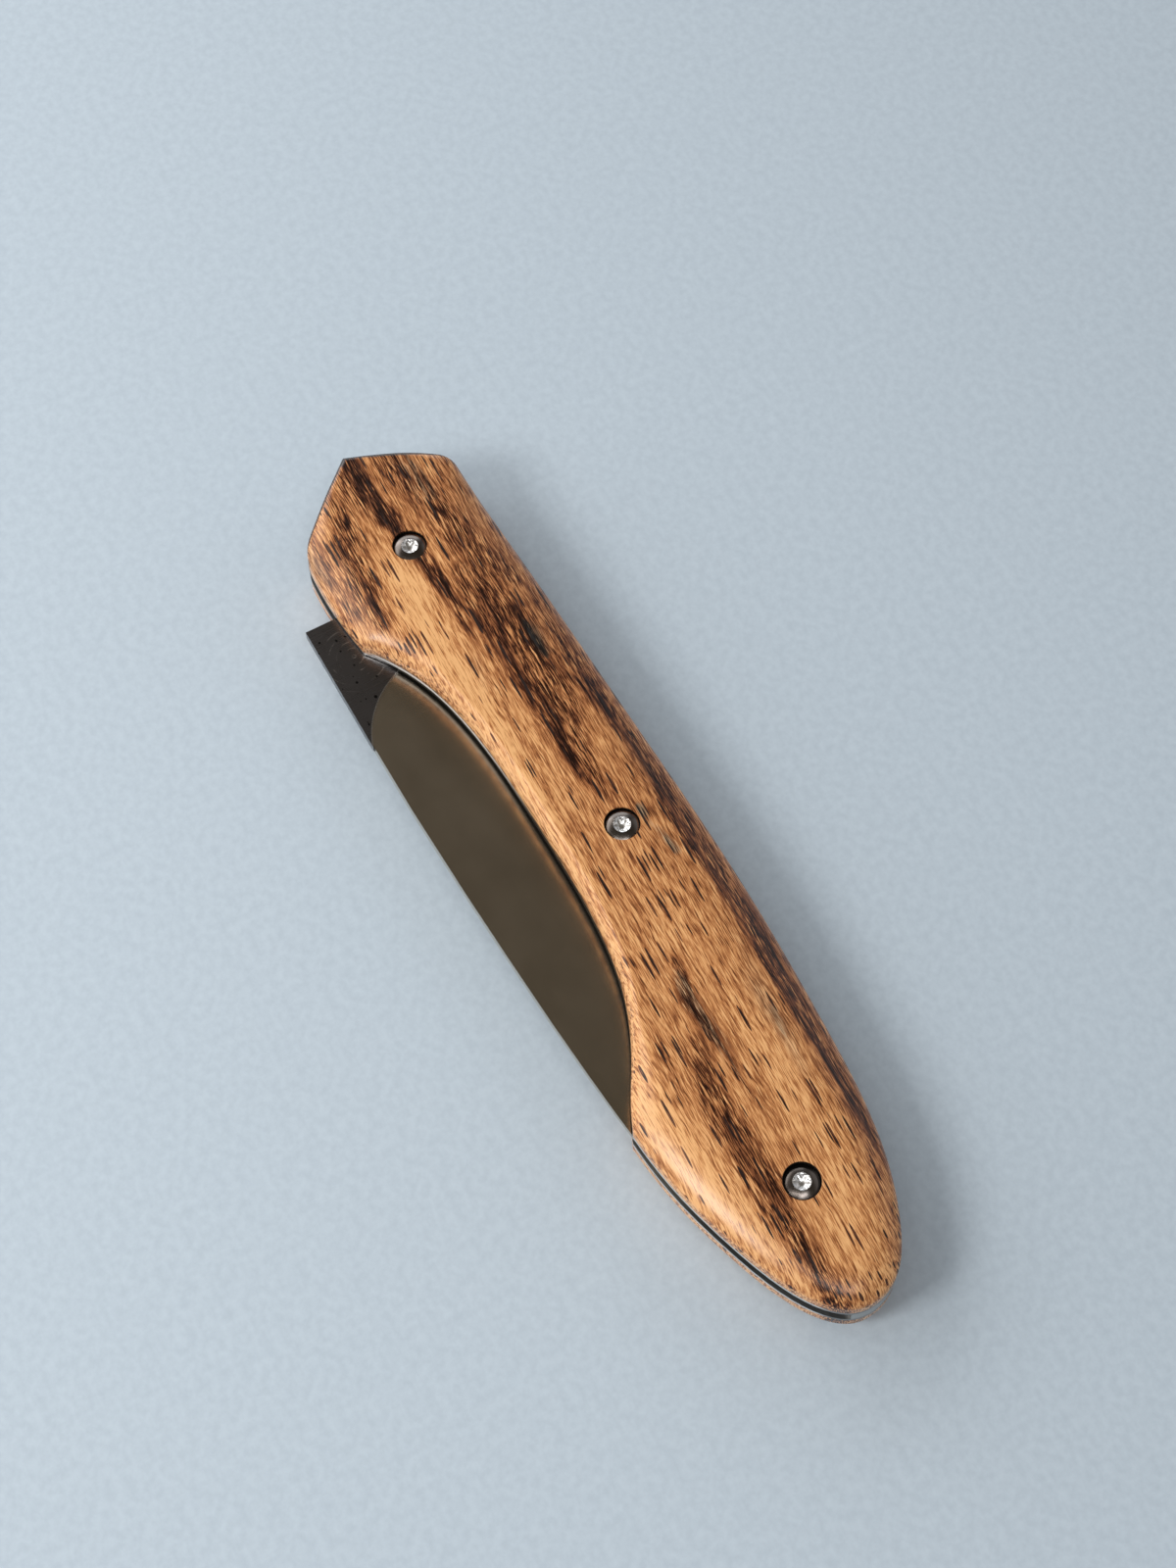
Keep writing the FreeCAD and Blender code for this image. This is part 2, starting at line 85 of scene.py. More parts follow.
# %% [markdown]
# ## The outline of the handle
# Scales, liners and spring share one outline with three sharp corners: the head point and the two ends of the
# cut-out. It could be traced point by point, but a smooth cubic through a few points gives a cleaner line.

# %% Smooth runs
HEAD_END = ((-59.44, -1.31), (-57.59, 3.43), (-54.10, 10.40))
BACK = ((-54.10, 10.40), (-33.96, 11.39), (-12.00, 12.12), (12.00, 12.598), (30.00, 11.82), (46.32, 9.64),
        (53.64, 6.78), (57.33, 4.03), (58.72, 1.10), (58.55, -1.70), (56.73, -4.19), (53.00, -6.65),
        (46.01, -9.34), (38.83, -11.28), (30.64, -12.36))
CUT_OUT = ((30.64, -12.36), (27.36, -10.83), (24.00, -8.86), (16.20, -5.41), (8.04, -3.95), (-6.96, -3.64),
           (-21.96, -4.60), (-29.52, -6.55), (-36.36, -10.50))
CHIN = ((-36.36, -10.50), (-42.60, -11.18), (-50.88, -10.88))
HEAD_STEPS, BACK_STEPS, CUT_OUT_STEPS, CHIN_STEPS = 50, 600, 300, 60


def smooth_run(points, count):
    """A cubic through points, sampled evenly. With steps h and secants d between points, the slopes m at the
    inner points hold h1 m0 + 2 (h0 + h1) m1 + h0 m2 = 3 (h1 d0 + h0 d1); end slopes come from parabolas."""
    points = np.array(points)
    steps = np.linalg.norm(np.diff(points, axis=0), axis=1)
    secants = np.diff(points, axis=0) / steps[:, None]
    inner = np.arange(1, len(points) - 1)
    matrix = np.eye(len(points))
    matrix[inner, inner - 1] = steps[1:]
    matrix[inner, inner] = 2 * (steps[:-1] + steps[1:])
    matrix[inner, inner + 1] = steps[:-1]
    right = np.zeros_like(points)
    right[1:-1] = 3 * (steps[1:, None] * secants[:-1] + steps[:-1, None] * secants[1:])
    right[0] = secants[0] + (secants[0] - secants[1]) * steps[0] / (steps[0] + steps[1])
    right[-1] = secants[-1] + (secants[-1] - secants[-2]) * steps[-1] / (steps[-1] + steps[-2])
    slopes = np.linalg.solve(matrix, right)
    knots = np.concatenate([[0.0], np.cumsum(steps)])
    where = np.linspace(0.0, knots[-1], count)
    piece = np.clip(np.searchsorted(knots, where, side="right") - 1, 0, len(steps) - 1)
    step = steps[piece][:, None]
    t = (where - knots[piece])[:, None] / step
    return ((1 + 2 * t) * (1 - t) ** 2 * points[piece] + t * (1 - t) ** 2 * step * slopes[piece]
            + t ** 2 * (3 - 2 * t) * points[piece + 1] + t ** 2 * (t - 1) * step * slopes[piece + 1])


head_end = smooth_run(HEAD_END, HEAD_STEPS)
back = smooth_run(BACK, BACK_STEPS)
cut_out = smooth_run(CUT_OUT, CUT_OUT_STEPS)
chin = smooth_run(CHIN, CHIN_STEPS)
print("cut-out: %.1f mm long, %.1f mm deep" % (np.ptp(cut_out[:, 0]), np.ptp(cut_out[:, 1])))

# %% [markdown]
# Two corners of the real handle are rounded off, at the back of the head and under the chin. A bevel of the
# finished mesh would have to follow its curves, so the corner is rounded on the flat outline instead.
# The runs then make two rails, one along the back and one along the belly, from the head point to the butt.

# %% Rails
HEAD_ROUND, CHIN_ROUND = 1.5, 2.0
BEND_STEPS = 14


def round_corner(before, after, reach):
    """Two runs that meet in a corner, cut back by a reach and joined by a parabola, its pole the corner."""
    corner = before[-1]
    before = before[np.linalg.norm(before - corner, axis=1) > reach]
    after = after[np.linalg.norm(after - corner, axis=1) > reach]
    t = np.linspace(0.0, 1.0, BEND_STEPS)[1:-1, None]
    bend = (1 - t) ** 2 * before[-1] + 2 * t * (1 - t) * corner + t ** 2 * after[0]
    return np.concatenate([before, bend, after])


slant = np.linspace(CHIN[-1], HEAD_END[0], HEAD_STEPS)
over_back = round_corner(head_end, back, HEAD_ROUND)
under_chin = round_corner(chin, slant, CHIN_ROUND)
upper_rail = over_back[:np.argmax(over_back[:, 0]) + 1]
lower_rail = np.concatenate([back[np.argmax(back[:, 0]):], cut_out[1:], under_chin[1:]])[::-1]
print("handle outline: from %.1f to %.1f mm" % (lower_rail[0, 0], lower_rail[-1, 0]))

# %% [markdown]
# ## From grids to meshes
# Every new piece is a grid of points: rows of a profile, carried along columns. One function turns such a
# grid into a mesh. It stitches neighbours into four-sided faces, merges the points that fall together at
# tips and on axes, and shades the surface smooth except across edges sharper than a given angle.

# %% Mesh builder
MM = 0.001
MERGE_DISTANCE = 0.0000005


def grid_faces(columns, rows, close_rows, close_columns, flip, first=0):
    """Corner numbers of the faces of a grid of points, counted from first."""
    last_column = columns if close_columns else columns - 1
    last_row = rows if close_rows else rows - 1
    i, j = (part.ravel() for part in np.meshgrid(np.arange(last_column), np.arange(last_row), indexing="ij"))
    ahead, beside = (i + 1) % columns, (j + 1) % rows
    faces = np.stack([i * rows + j, ahead * rows + j, ahead * rows + beside, i * rows + beside], axis=1)
    return (faces[:, ::-1] if flip else faces) + first


def build_mesh(name, points, faces, angle):
    """A mesh in metres from points in millimetres, with doubles merged and edges over an angle left sharp."""
    made = bpy.data.meshes.new(name)
    made.from_pydata((points * MM).tolist(), [], faces.tolist())
    shell = bmesh.new()
    shell.from_mesh(made)
    bmesh.ops.remove_doubles(shell, verts=shell.verts, dist=MERGE_DISTANCE)
    shell.to_mesh(made)
    shell.free()
    made.shade_smooth()
    made.set_sharp_from_angle(angle=np.radians(angle))
    return made


def place_piece(name, mesh, node):
    """An object that stands for a CAD node of the handle."""
    made = bpy.data.objects.new(name, mesh)
    scene.collection.objects.link(made)
    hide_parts(node)
    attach(made, "handle")
    return made


print("faces between 3 by 3 points:", len(grid_faces(3, 3, False, False, False)))

# %% [markdown]
# ## The screws
# Six button-head screws hold the stack together. A screw is a turned piece, so its surface is a profile spun
# about its axis: shank, rim, a low dome, a small chamfer, then the wall and floor of the socket. Only the
# socket is not round: there the radius swells six times in a turn, which gives its lobes. The heads stand a
# little high in their bores, so all of a head above the floor of its socket is lifted.

# %% Screw profile
HEAD_HEIGHT = 1.12
HEAD_LIFT, LIFTED_FROM = 0.16, 0.2
SHANK_RADIUS, SHANK_CHAMFER = 1.0, 0.1
DOME_RADIUS, DOME_FALL = 1.95, 0.45
DOME_STEPS = (1.95, 1.88, 1.75, 1.60, 1.45, 1.30, 1.15, 1.02)
RIM = ((1.92, 0.0, 0.0), (1.99, 0.07, 0.0), (1.99, 0.60, 0.0))
SOCKET = ((0.96, 0.90, 0.0), (0.88, 0.86, 0.08), (0.84, 0.80, 0.11), (0.83, 0.42, 0.11), (0.72, 0.36, 0.05),
          (0.40, 0.28, 0.0), (0.0, 0.20, 0.0))
LOBES = 6
TURN_STEPS = 96


def dome_height(radius):
    """Height of the dome: a ball whose top is at the head's height and which falls so far at its radius."""
    ball = (DOME_RADIUS ** 2 + DOME_FALL ** 2) / (2 * DOME_FALL)
    return HEAD_HEIGHT - ball + np.sqrt(ball ** 2 - radius ** 2)


def screw_profile(shank):
    """Rows of radius, height over the seat and swell, from the shank's end to the floor of the socket."""
    end = ((0.0, -shank, 0.0), (SHANK_RADIUS - SHANK_CHAMFER, -shank, 0.0),
           (SHANK_RADIUS, SHANK_CHAMFER - shank, 0.0), (SHANK_RADIUS, 0.0, 0.0))
    dome = tuple((radius, dome_height(radius), 0.0) for radius in DOME_STEPS)
    rows = np.array(end + RIM + dome + SOCKET)
    rows[:, 1] += HEAD_LIFT * (rows[:, 1] > LIFTED_FROM)
    return rows


def spin(profile, place, side):
    """A profile spun about an upright axis, radius + swell * cos(6 angle), its head up (1) or down (-1)."""
    angle = np.linspace(0.0, 2 * np.pi, TURN_STEPS, endpoint=False)[:, None]
    radius, height, swell = np.array(profile).T
    reach = radius + swell * np.cos(LOBES * angle)
    return np.stack([place[0] + reach * np.cos(angle), place[1] + reach * np.sin(angle),
                     place[2] + side * height + 0 * angle], axis=-1)


print("screw head: %.2f mm high" % screw_profile(1.0)[:, 1].max())

# %% [markdown]
# The profile becomes six screws. Axis and seat of each are read from the box of its CAD node, so that the
# screw stays where the solid is. An attribute marks the socket as bare metal, because the rest of the head is
# darkened; a second material would do too, but this keeps the screw one piece with one finish.

# %% Screws
PER_METRE = 1000.0
SCREW_ANGLE = 35
SOCKET_REACH, SOCKET_LOWEST = 1.0, 0.1


def box_in_mm(node):
    """The low and the high corner of a CAD node."""
    return np.array(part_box(node)) * PER_METRE


def mark_socket(mesh, place, side):
    """Sets the attribute bare to 1 at points near the axis and over the seat."""
    points = np.empty(len(mesh.vertices) * 3)
    mesh.vertices.foreach_get("co", points)
    off = points.reshape(-1, 3) * PER_METRE - place
    inside = (np.hypot(off[:, 0], off[:, 1]) < SOCKET_REACH) & (off[:, 2] * side > SOCKET_LOWEST)
    mesh.attributes.new("bare", "FLOAT", "POINT").data.foreach_set("value", inside.astype(float))


def screw_mesh(name, node, side):
    """The screw of a node, and the place of its seat."""
    low, high = box_in_mm(node)
    seat = high[2] - HEAD_HEIGHT if side > 0 else low[2] + HEAD_HEIGHT
    place = (*(low + high)[:2] / 2, seat)
    rows = screw_profile(high[2] - low[2] - HEAD_HEIGHT)
    faces = grid_faces(TURN_STEPS, len(rows), False, True, side < 0)
    made = build_mesh(name, spin(rows, place, side).reshape(-1, 3), faces, SCREW_ANGLE)
    mark_socket(made, place, side)
    return made, place


screws, seats = [], {1: [], -1: []}
for station in ("pivot", "mid", "rear"):
    for word, side in (("front", 1), ("back", -1)):
        node = "%s_%s_screw" % (station, word)
        mesh, seat = screw_mesh(node + "_head", node, side)
        screws.append(place_piece(node + "_head", mesh, node))
        seats[side].append(seat)
print("screws:", len(screws), "faces each:", len(screws[0].data.polygons))

# %% [markdown]
# ## The scales
# A scale is nearly flat along its middle, falls in a slow arc to the sides and the butt, and its edge is
# sanded round, wide and soft everywhere but at the head, which is left crisp, and along the cut-out, where it
# is narrow. A bevel on the flat outline would show as a separate band, so the height is a formula of the
# place instead, and it starts with the distance from the outline.

# %% Distance from the outline
CRISP_EDGE, SOFT_EDGE, CUT_OUT_EDGE = 0.7, 4.2, 1.1
NARROW_FROM, NARROW_TO = (-36.0, -26.0), (30.0, 20.0)
RIDGE_POWER = 6.0
LEAST_DISTANCE = 0.0001


def distance_to(points, run):
    """How far points are from a run: the least distance to its straight pieces."""
    start, along = run[:-1], np.diff(run, axis=0)
    share = ((points[:, None] - start) * along).sum(-1) / (along ** 2).sum(-1)
    nearest = start + np.clip(share, 0.0, 1.0)[..., None] * along
    return np.linalg.norm(points[:, None] - nearest, axis=-1).min(1)


def smooth_step(value, low, high):
    """0 at low and 1 at high, also where low is the larger, and t^2 (3 - 2 t) between."""
    t = np.clip((value - low) / (high - low), 0.0, 1.0)
    return t * t * (3 - 2 * t)


def edge_share(points, soft):
    """Distance over width of the sanded edge, 1 at its inner border. The three runs of the outline have
    their own widths, and the ridges between them are softened: (sum of share^-6)^(-1/6)."""
    middle = smooth_step(points[:, 0], *NARROW_FROM) * smooth_step(points[:, 0], *NARROW_TO)
    wide = CRISP_EDGE + (SOFT_EDGE - CRISP_EDGE) * soft
    widths = (wide, wide - (wide - CUT_OUT_EDGE) * middle, wide)
    near = np.stack([distance_to(points, run) for run in (over_back[::2], cut_out, under_chin)])
    shares = np.maximum(near, LEAST_DISTANCE) / np.stack(widths)
    return (shares ** -RIDGE_POWER).sum(0) ** (-1.0 / RIDGE_POWER)


print("origin to cut-out: %.2f mm" % distance_to(np.zeros((1, 2)), cut_out)[0])

# %% [markdown]
# With d the distance from the outline and w the width of the sanded edge, the scale rises from the top of its
# wall to the crown as wall + (crown - wall) * sqrt(1 - (1 - d / w)^2), a quarter of an ellipse. Sandpaper
# leaves much the same round: steep at the wall, and flush with the crown where it ends.

# %% Height of a scale
FLAT_HALF, CROWN_RADIUS = 4.0, 27.4
FALL_FROM, FALL_RADIUS = 24.0, 440.0
CRISP_DROP, SOFT_WALL = 0.7, 1.15
SOFTENS = (-57.0, -45.0)

thickness = np.ptp(box_in_mm("front_scale")[:, 2])


def arc_fall(distance, radius):
    """How far an arc of a radius has fallen at a distance from its top; nothing before the top."""
    distance = np.maximum(distance, 0.0)
    return radius - np.sqrt(radius ** 2 - distance ** 2)


def scale_height(points):
    """Height over the liner: the crown's two arcs, and the ellipse of the sanded edge under it."""
    x, y = points.T
    soft = smooth_step(x, *SOFTENS)
    top = thickness - arc_fall(np.abs(y) - FLAT_HALF, CROWN_RADIUS) - arc_fall(x - FALL_FROM, FALL_RADIUS)
    wall = (top - CRISP_DROP) * (1 - soft) + SOFT_WALL * soft
    u = np.clip(1.0 - edge_share(points, soft), 0.0, 1.0)
    return wall + (top - wall) * np.sqrt(1.0 - u * u)


print("scale: %.2f mm thick at the origin" % scale_height(np.zeros((1, 2)))[0])

# %% [markdown]
# The surface is a grid of ribs across the handle, from the belly's rail to the back's. Two ribs stand exactly
# at the ends of the cut-out, so that these corners stay sharp, and the rows crowd at both edges, where the
# surface bends most. An even grid would need far more points for the same edge.

# %% Plan of a scale
RIBS, ROWS = 401, 45


def lengths_along(rail):
    """Length of a rail up to each of its points."""
    return np.concatenate([[0.0], np.cumsum(np.linalg.norm(np.diff(rail, axis=0), axis=1))])


def along_rail(rail, share):
    """Points at shares of a rail's length."""
    length = lengths_along(rail)
    return np.stack([np.interp(share * length[-1], length, rail[:, k]) for k in range(2)], axis=1)


def corner_share(rail, corner):
    """The share of a rail's length at which one of its points lies."""
    length = lengths_along(rail)
    return length[np.argmin(np.linalg.norm(rail - corner, axis=1))] / length[-1]


corners = [corner_share(lower_rail, CUT_OUT[0]), corner_share(lower_rail, CUT_OUT[-1])]
ribs = np.unique(np.concatenate([np.linspace(0.0, 1.0, RIBS), corners]))
low_side, high_side = along_rail(lower_rail, ribs), along_rail(upper_rail, ribs)
crowded = (0.5 - 0.5 * np.cos(np.pi * np.linspace(0.0, 1.0, ROWS)))[:, None]
plan = low_side[:, None] * (1 - crowded) + high_side[:, None] * crowded
height = scale_height(plan.reshape(-1, 2)).reshape(plan.shape[:2])
print("grid of a scale:", plan.shape[:2])

# %% [markdown]
# A drill makes the stepped bores for the screws. Here a Boolean modifier does, with three spun plugs: the
# grid could be bent round the holes instead, but that would spoil its even ribs. Its result is the mesh.

# %% Bores
SHANK_BORE, HEAD_BORE = 1.12, 2.05
BORE_DOWN, BORE_UP = -9.0, 5.0
SCALE_ANGLE = 40


def bore_cutter(side):
    """Three stepped plugs: narrow through the wood, wide from the seats of the heads out."""
    profile = ((0.0, BORE_DOWN, 0.0), (SHANK_BORE, BORE_DOWN, 0.0), (SHANK_BORE, 0.0, 0.0),
               (HEAD_BORE, 0.0, 0.0), (HEAD_BORE, BORE_UP, 0.0), (0.0, BORE_UP, 0.0))
    plugs = [spin(profile, seat, side).reshape(-1, 3) for seat in seats[side]]
    faces = [grid_faces(TURN_STEPS, len(profile), False, True, side < 0, number * len(plugs[0]))
             for number in range(len(plugs))]
    return build_mesh("bore_cutter", np.concatenate(plugs), np.concatenate(faces), SCREW_ANGLE)


def bored_mesh(name, mesh, side):
    """A scale's mesh with its bores cut out."""
    solid = bpy.data.objects.new(name, mesh)
    cutter = bpy.data.objects.new("bore_cutter", bore_cutter(side))
    for item in (solid, cutter):
        scene.collection.objects.link(item)
    bores = solid.modifiers.new("bores", "BOOLEAN")
    bores.object = cutter
    bores.solver = "EXACT"
    bored = bpy.data.meshes.new_from_object(solid.evaluated_get(bpy.context.evaluated_depsgraph_get()))
    bored.name = name
    bored.set_sharp_from_angle(angle=np.radians(SCALE_ANGLE))
    for item in (solid, cutter):
        bpy.data.objects.remove(item)
    return bored


print("bores in each scale:", len(seats[1]), len(seats[-1]))

# %% [markdown]
# Both scales use the same plan, because the real ones are cut as a mirrored pair. Each rib is a closed
# loop, so that the mesh is watertight, as a Boolean needs it.

# %% Scales
def make_scale(name, node, side):
    """A closed loop for each rib: over the crown from belly to back, then back along the liner."""
    low, high = box_in_mm(node)
    base = low[2] if side > 0 else high[2]
    top = np.concatenate([plan, (base + side * height)[..., None]], axis=-1)
    under = np.stack([high_side, low_side], axis=1)
    foot = np.concatenate([under, np.full(under.shape[:2] + (1,), base)], axis=-1)
    loops = np.concatenate([top, foot], axis=1)
    faces = grid_faces(len(ribs), ROWS + 2, True, False, side < 0)
    mesh = build_mesh(name, loops.reshape(-1, 3), faces, SCALE_ANGLE)
    return place_piece(name, bored_mesh(name, mesh, side), node)


scales = [make_scale("front_scale_sanded", "front_scale", 1),
          make_scale("back_scale_sanded", "back_scale", -1)]
print("scales:", [len(piece.data.polygons) for piece in scales], "faces")

# %% [markdown]
# ## Noise drawn out along a direction
# A finish is colour, polish and fine relief, and in Blender it is a graph of shader nodes. Such graphs can be
# wired by hand in the editor; written out, they grow long. So a few helpers carry the load, and what
# several finishes need becomes a node group.

# %% Node helpers
def plug(tree, socket, value):
    """Sets a socket to a number or colour, or links it to another socket."""
    if isinstance(value, bpy.types.NodeSocket):
        tree.links.new(value, socket)
    else:
        socket.default_value = value


def add(tree, kind, inputs=None, **settings):
    """Adds a node, sets its settings and plugs its inputs by name or number."""
    made = tree.nodes.new(kind)
    for name, value in settings.items():
        setattr(made, name, value)
    for name, value in (inputs or {}).items():
        plug(tree, made.inputs[name], value)
    return made


def new_group(name, inputs, outputs):
    """A node group with named sockets; gives its tree, its input node and its output node."""
    tree = bpy.data.node_groups.new(name, "ShaderNodeTree")
    for label, kind in inputs:
        tree.interface.new_socket(label, in_out="INPUT", socket_type="NodeSocket" + kind)
    for label, kind in outputs:
        tree.interface.new_socket(label, in_out="OUTPUT", socket_type="NodeSocket" + kind)
    return tree, tree.nodes.new("NodeGroupInput"), tree.nodes.new("NodeGroupOutput")


def use_group(tree, group, inputs):
    """Places a node group in a tree with its own values; gives its one output."""
    return add(tree, "ShaderNodeGroup", inputs, node_tree=group).outputs[0]


print("helpers: plug, add, new_group, use_group")

# %% [markdown]
# Wood fibres and brushed steel are both fine noise, drawn out along one direction. A noise texture does this
# when its coordinates are squeezed along that direction, so one group serves every finish.

# %% Drawn-out noise
NOISE_ROUGHNESS = 0.6


def scaled(tree, vector, factors):
    """A vector, times a factor along each axis."""
    return add(tree, "ShaderNodeVectorMath", {0: vector, 1: factors}, operation="MULTIPLY").outputs[0]


drawn, given, result = new_group(
    "drawn_out_noise", [("Vector", "Vector"), ("Per mm", "Vector"), ("Detail", "Float")],
    [("Value", "Float")])
millimetres = scaled(drawn, given.outputs["Vector"], (PER_METRE,) * 3)
noise = add(drawn, "ShaderNodeTexNoise", {
    "Vector": scaled(drawn, millimetres, given.outputs["Per mm"]), "Scale": 1.0,
    "Detail": given.outputs["Detail"], "Roughness": NOISE_ROUGHNESS})
plug(drawn, result.inputs["Value"], noise.outputs[0])


def drawn_noise(tree, place, per_mm, detail):
    """Noise between 0 and 1 with so many waves to the millimetre along each axis."""
    return use_group(tree, drawn, {"Vector": place, "Per mm": per_mm, "Detail": detail})


print("group", drawn.name)

# %% [markdown]
# ## Spalted beech
# The scales are beech that has started to rot and then been dried: a golden ground, silky fibres, red-brown
# stains, and almost black lines that follow the grain. Short dark flecks lie along it.
# A picture of wood would be quick, but it shows seams on the sides. Here the wood is solid: every point in
# space has a tone, made of noise at several scales, streaks along drawn curves, and flecks.
#
# First comes one streak. Its curve node holds three lines over the handle's length: where the streak lies
# across the handle, how strong it is, and how wide. A point is in the streak when it is near that line.

# %% One streak
ACROSS_LOW, ACROSS_SPAN = -15.0, 30.0
WIDEST_HALF, LEAST_HALF = 6.0, 0.05
WAVER_REACH = 1.2
FADED_AT = 1.6


def maths(tree, operation, *values):
    """Arithmetic on up to three numbers or sockets; gives the result's socket."""
    return add(tree, "ShaderNodeMath", dict(enumerate(values)), operation=operation).outputs[0]


def weigh(tree, value, weight, base):
    """A value times a weight, plus a base."""
    return maths(tree, "MULTIPLY_ADD", value, weight, base)


def times(tree, first, *others):
    """The product of numbers and sockets."""
    for other in others:
        first = maths(tree, "MULTIPLY", first, other)
    return first


def ease(tree, value, low, high):
    """A smooth step: 0 at low and 1 at high, also where low is the larger."""
    inputs = {"Value": value, "From Min": low, "From Max": high}
    return add(tree, "ShaderNodeMapRange", inputs, interpolation_type="SMOOTHSTEP").outputs["Result"]


streak, given, result = new_group(
    "streak", [("Across", "Float"), ("Line", "Color"), ("Waver", "Float")], [("Mask", "Float")])
line = add(streak, "ShaderNodeSeparateColor", {"Color": given.outputs["Line"]})
centre = weigh(streak, line.outputs[0], ACROSS_SPAN, ACROSS_LOW)
off = maths(streak, "SUBTRACT", given.outputs["Across"], centre)
off = maths(streak, "ABSOLUTE", weigh(streak, given.outputs["Waver"], WAVER_REACH, off))
half_width = weigh(streak, line.outputs[2], WIDEST_HALF, LEAST_HALF)
inside = ease(streak, maths(streak, "DIVIDE", off, half_width), FADED_AT, 0.0)
plug(streak, result.inputs["Mask"], times(streak, inside, line.outputs[1]))
print("group", streak.name)

# %% [markdown]
# Then the flecks. A cell texture scatters one point in each cell of space; with the coordinates squeezed
# along the grain, the small ball round each point becomes a thin spindle, up to 4 mm long and a third of a
# millimetre wide. The cell's own random colour leaves some out and makes the others differ in size.

# %% Flecks
FLECK_CELLS = (0.19, 2.3, 1.4)
FLECK_SPREAD, FLECK_LEAST = 0.58, -0.20
FLECK_EDGE = 0.03

flecks, given, result = new_group("flecks", [("Vector", "Vector")], [("Mask", "Float")])
millimetres = scaled(flecks, given.outputs["Vector"], (PER_METRE,) * 3)
squeezed = scaled(flecks, millimetres, FLECK_CELLS)
cells = add(flecks, "ShaderNodeTexVoronoi", {"Vector": squeezed, "Scale": 1.0})
luck = add(flecks, "ShaderNodeSeparateColor", {"Color": cells.outputs["Color"]}).outputs[0]
reach = weigh(flecks, luck, FLECK_SPREAD, FLECK_LEAST)
depth = maths(flecks, "SUBTRACT", reach, cells.outputs["Distance"])
plug(flecks, result.inputs["Mask"], ease(flecks, depth, -FLECK_EDGE, FLECK_EDGE))
print("group", flecks.name)

# %% [markdown]
# The streaks are drawn, one row for each: points along the handle, in millimetres from its middle,
# with the place across it, the strength and half of the width. Stains are broad and brown, lines are narrow
# and black, pale streaks make the wood lighter, and grey ones are where the rot bleached it.

# %% Streaks of the scales
STAINS = {
    "pivot_stain": ((-60, -1.4, 1.0, 2.4), (-54, -1.6, 1.0, 2.4), (-49, -0.8, 0.95, 2.0),
        (-43, 0.2, 0.75, 1.5), (-37, 0.8, 0.7, 1.1), (-31, 0.8, 0.55, 1.0), (-26, 0.8, 0.0, 0.8)),
    "red_band": ((-45, 4.0, 0.0, 1.5), (-39, 4.4, 0.65, 2.8), (-33, 4.6, 0.88, 3.4), (-27, 5.0, 0.92, 4.0),
        (-21, 5.0, 0.9, 3.8), (-15, 4.4, 0.85, 2.8), (-9, 3.8, 0.7, 2.0), (-4, 4.4, 0.45, 1.3),
        (3, 4.6, 0.0, 0.8)),
    "back_stain": ((-42, 10.2, 0.3, 1.4), (-30, 9.8, 0.5, 1.8), (-20, 9.6, 0.7, 1.8), (-10, 10.3, 0.65, 1.5),
        (0, 10.6, 0.7, 1.4), (10, 10.7, 0.65, 1.4), (20, 10.6, 0.7, 1.6), (30, 10.1, 0.6, 1.5),
        (40, 9.5, 0.55, 1.2), (48, 8.9, 0.45, 0.8), (54, 7.5, 0.0, 0.6)),
    "butt_band": ((20, -1.0, 0.0, 1.2), (26, -2.4, 0.55, 1.8), (32, -3.4, 0.85, 2.0), (40, -3.5, 1.0, 2.0),
        (48, -3.4, 1.0, 1.8), (54, -3.3, 0.9, 1.6), (60, -3.0, 0.7, 1.4)),
    "chin_stain": ((-57, -4.0, 0.6, 1.8), (-51, -5.4, 0.85, 2.2), (-46, -6.6, 0.9, 2.2),
        (-40, -7.4, 0.95, 2.0), (-36, -7.6, 0.6, 1.4), (-31, -8.0, 0.0, 0.8)),
    "under_chin": ((-53, -9.4, 0.4, 1.2), (-46, -9.8, 0.65, 1.4), (-40, -9.4, 0.65, 1.2),
        (-33, -8.6, 0.0, 0.8)),
    "head_stain": ((-59, 3.0, 0.75, 2.4), (-50, 4.6, 0.7, 3.0), (-42, 6.4, 0.75, 3.2), (-36, 7.6, 0.7, 2.6),
        (-29, 8.6, 0.0, 2.0)),
    "middle_stain": ((-9, 0.2, 0.0, 0.8), (-3, -0.6, 0.3, 0.6), (3, -0.9, 0.3, 0.5), (9, -0.8, 0.2, 0.5),
        (15, -0.4, 0.0, 0.6)),
    "belly_stain": ((18, -5.0, 0.0, 0.8), (23, -5.2, 0.4, 1.0), (27, -6.3, 0.5, 1.1), (32, -6.2, 0.25, 0.9),
        (37, -6.0, 0.0, 0.8)),
}
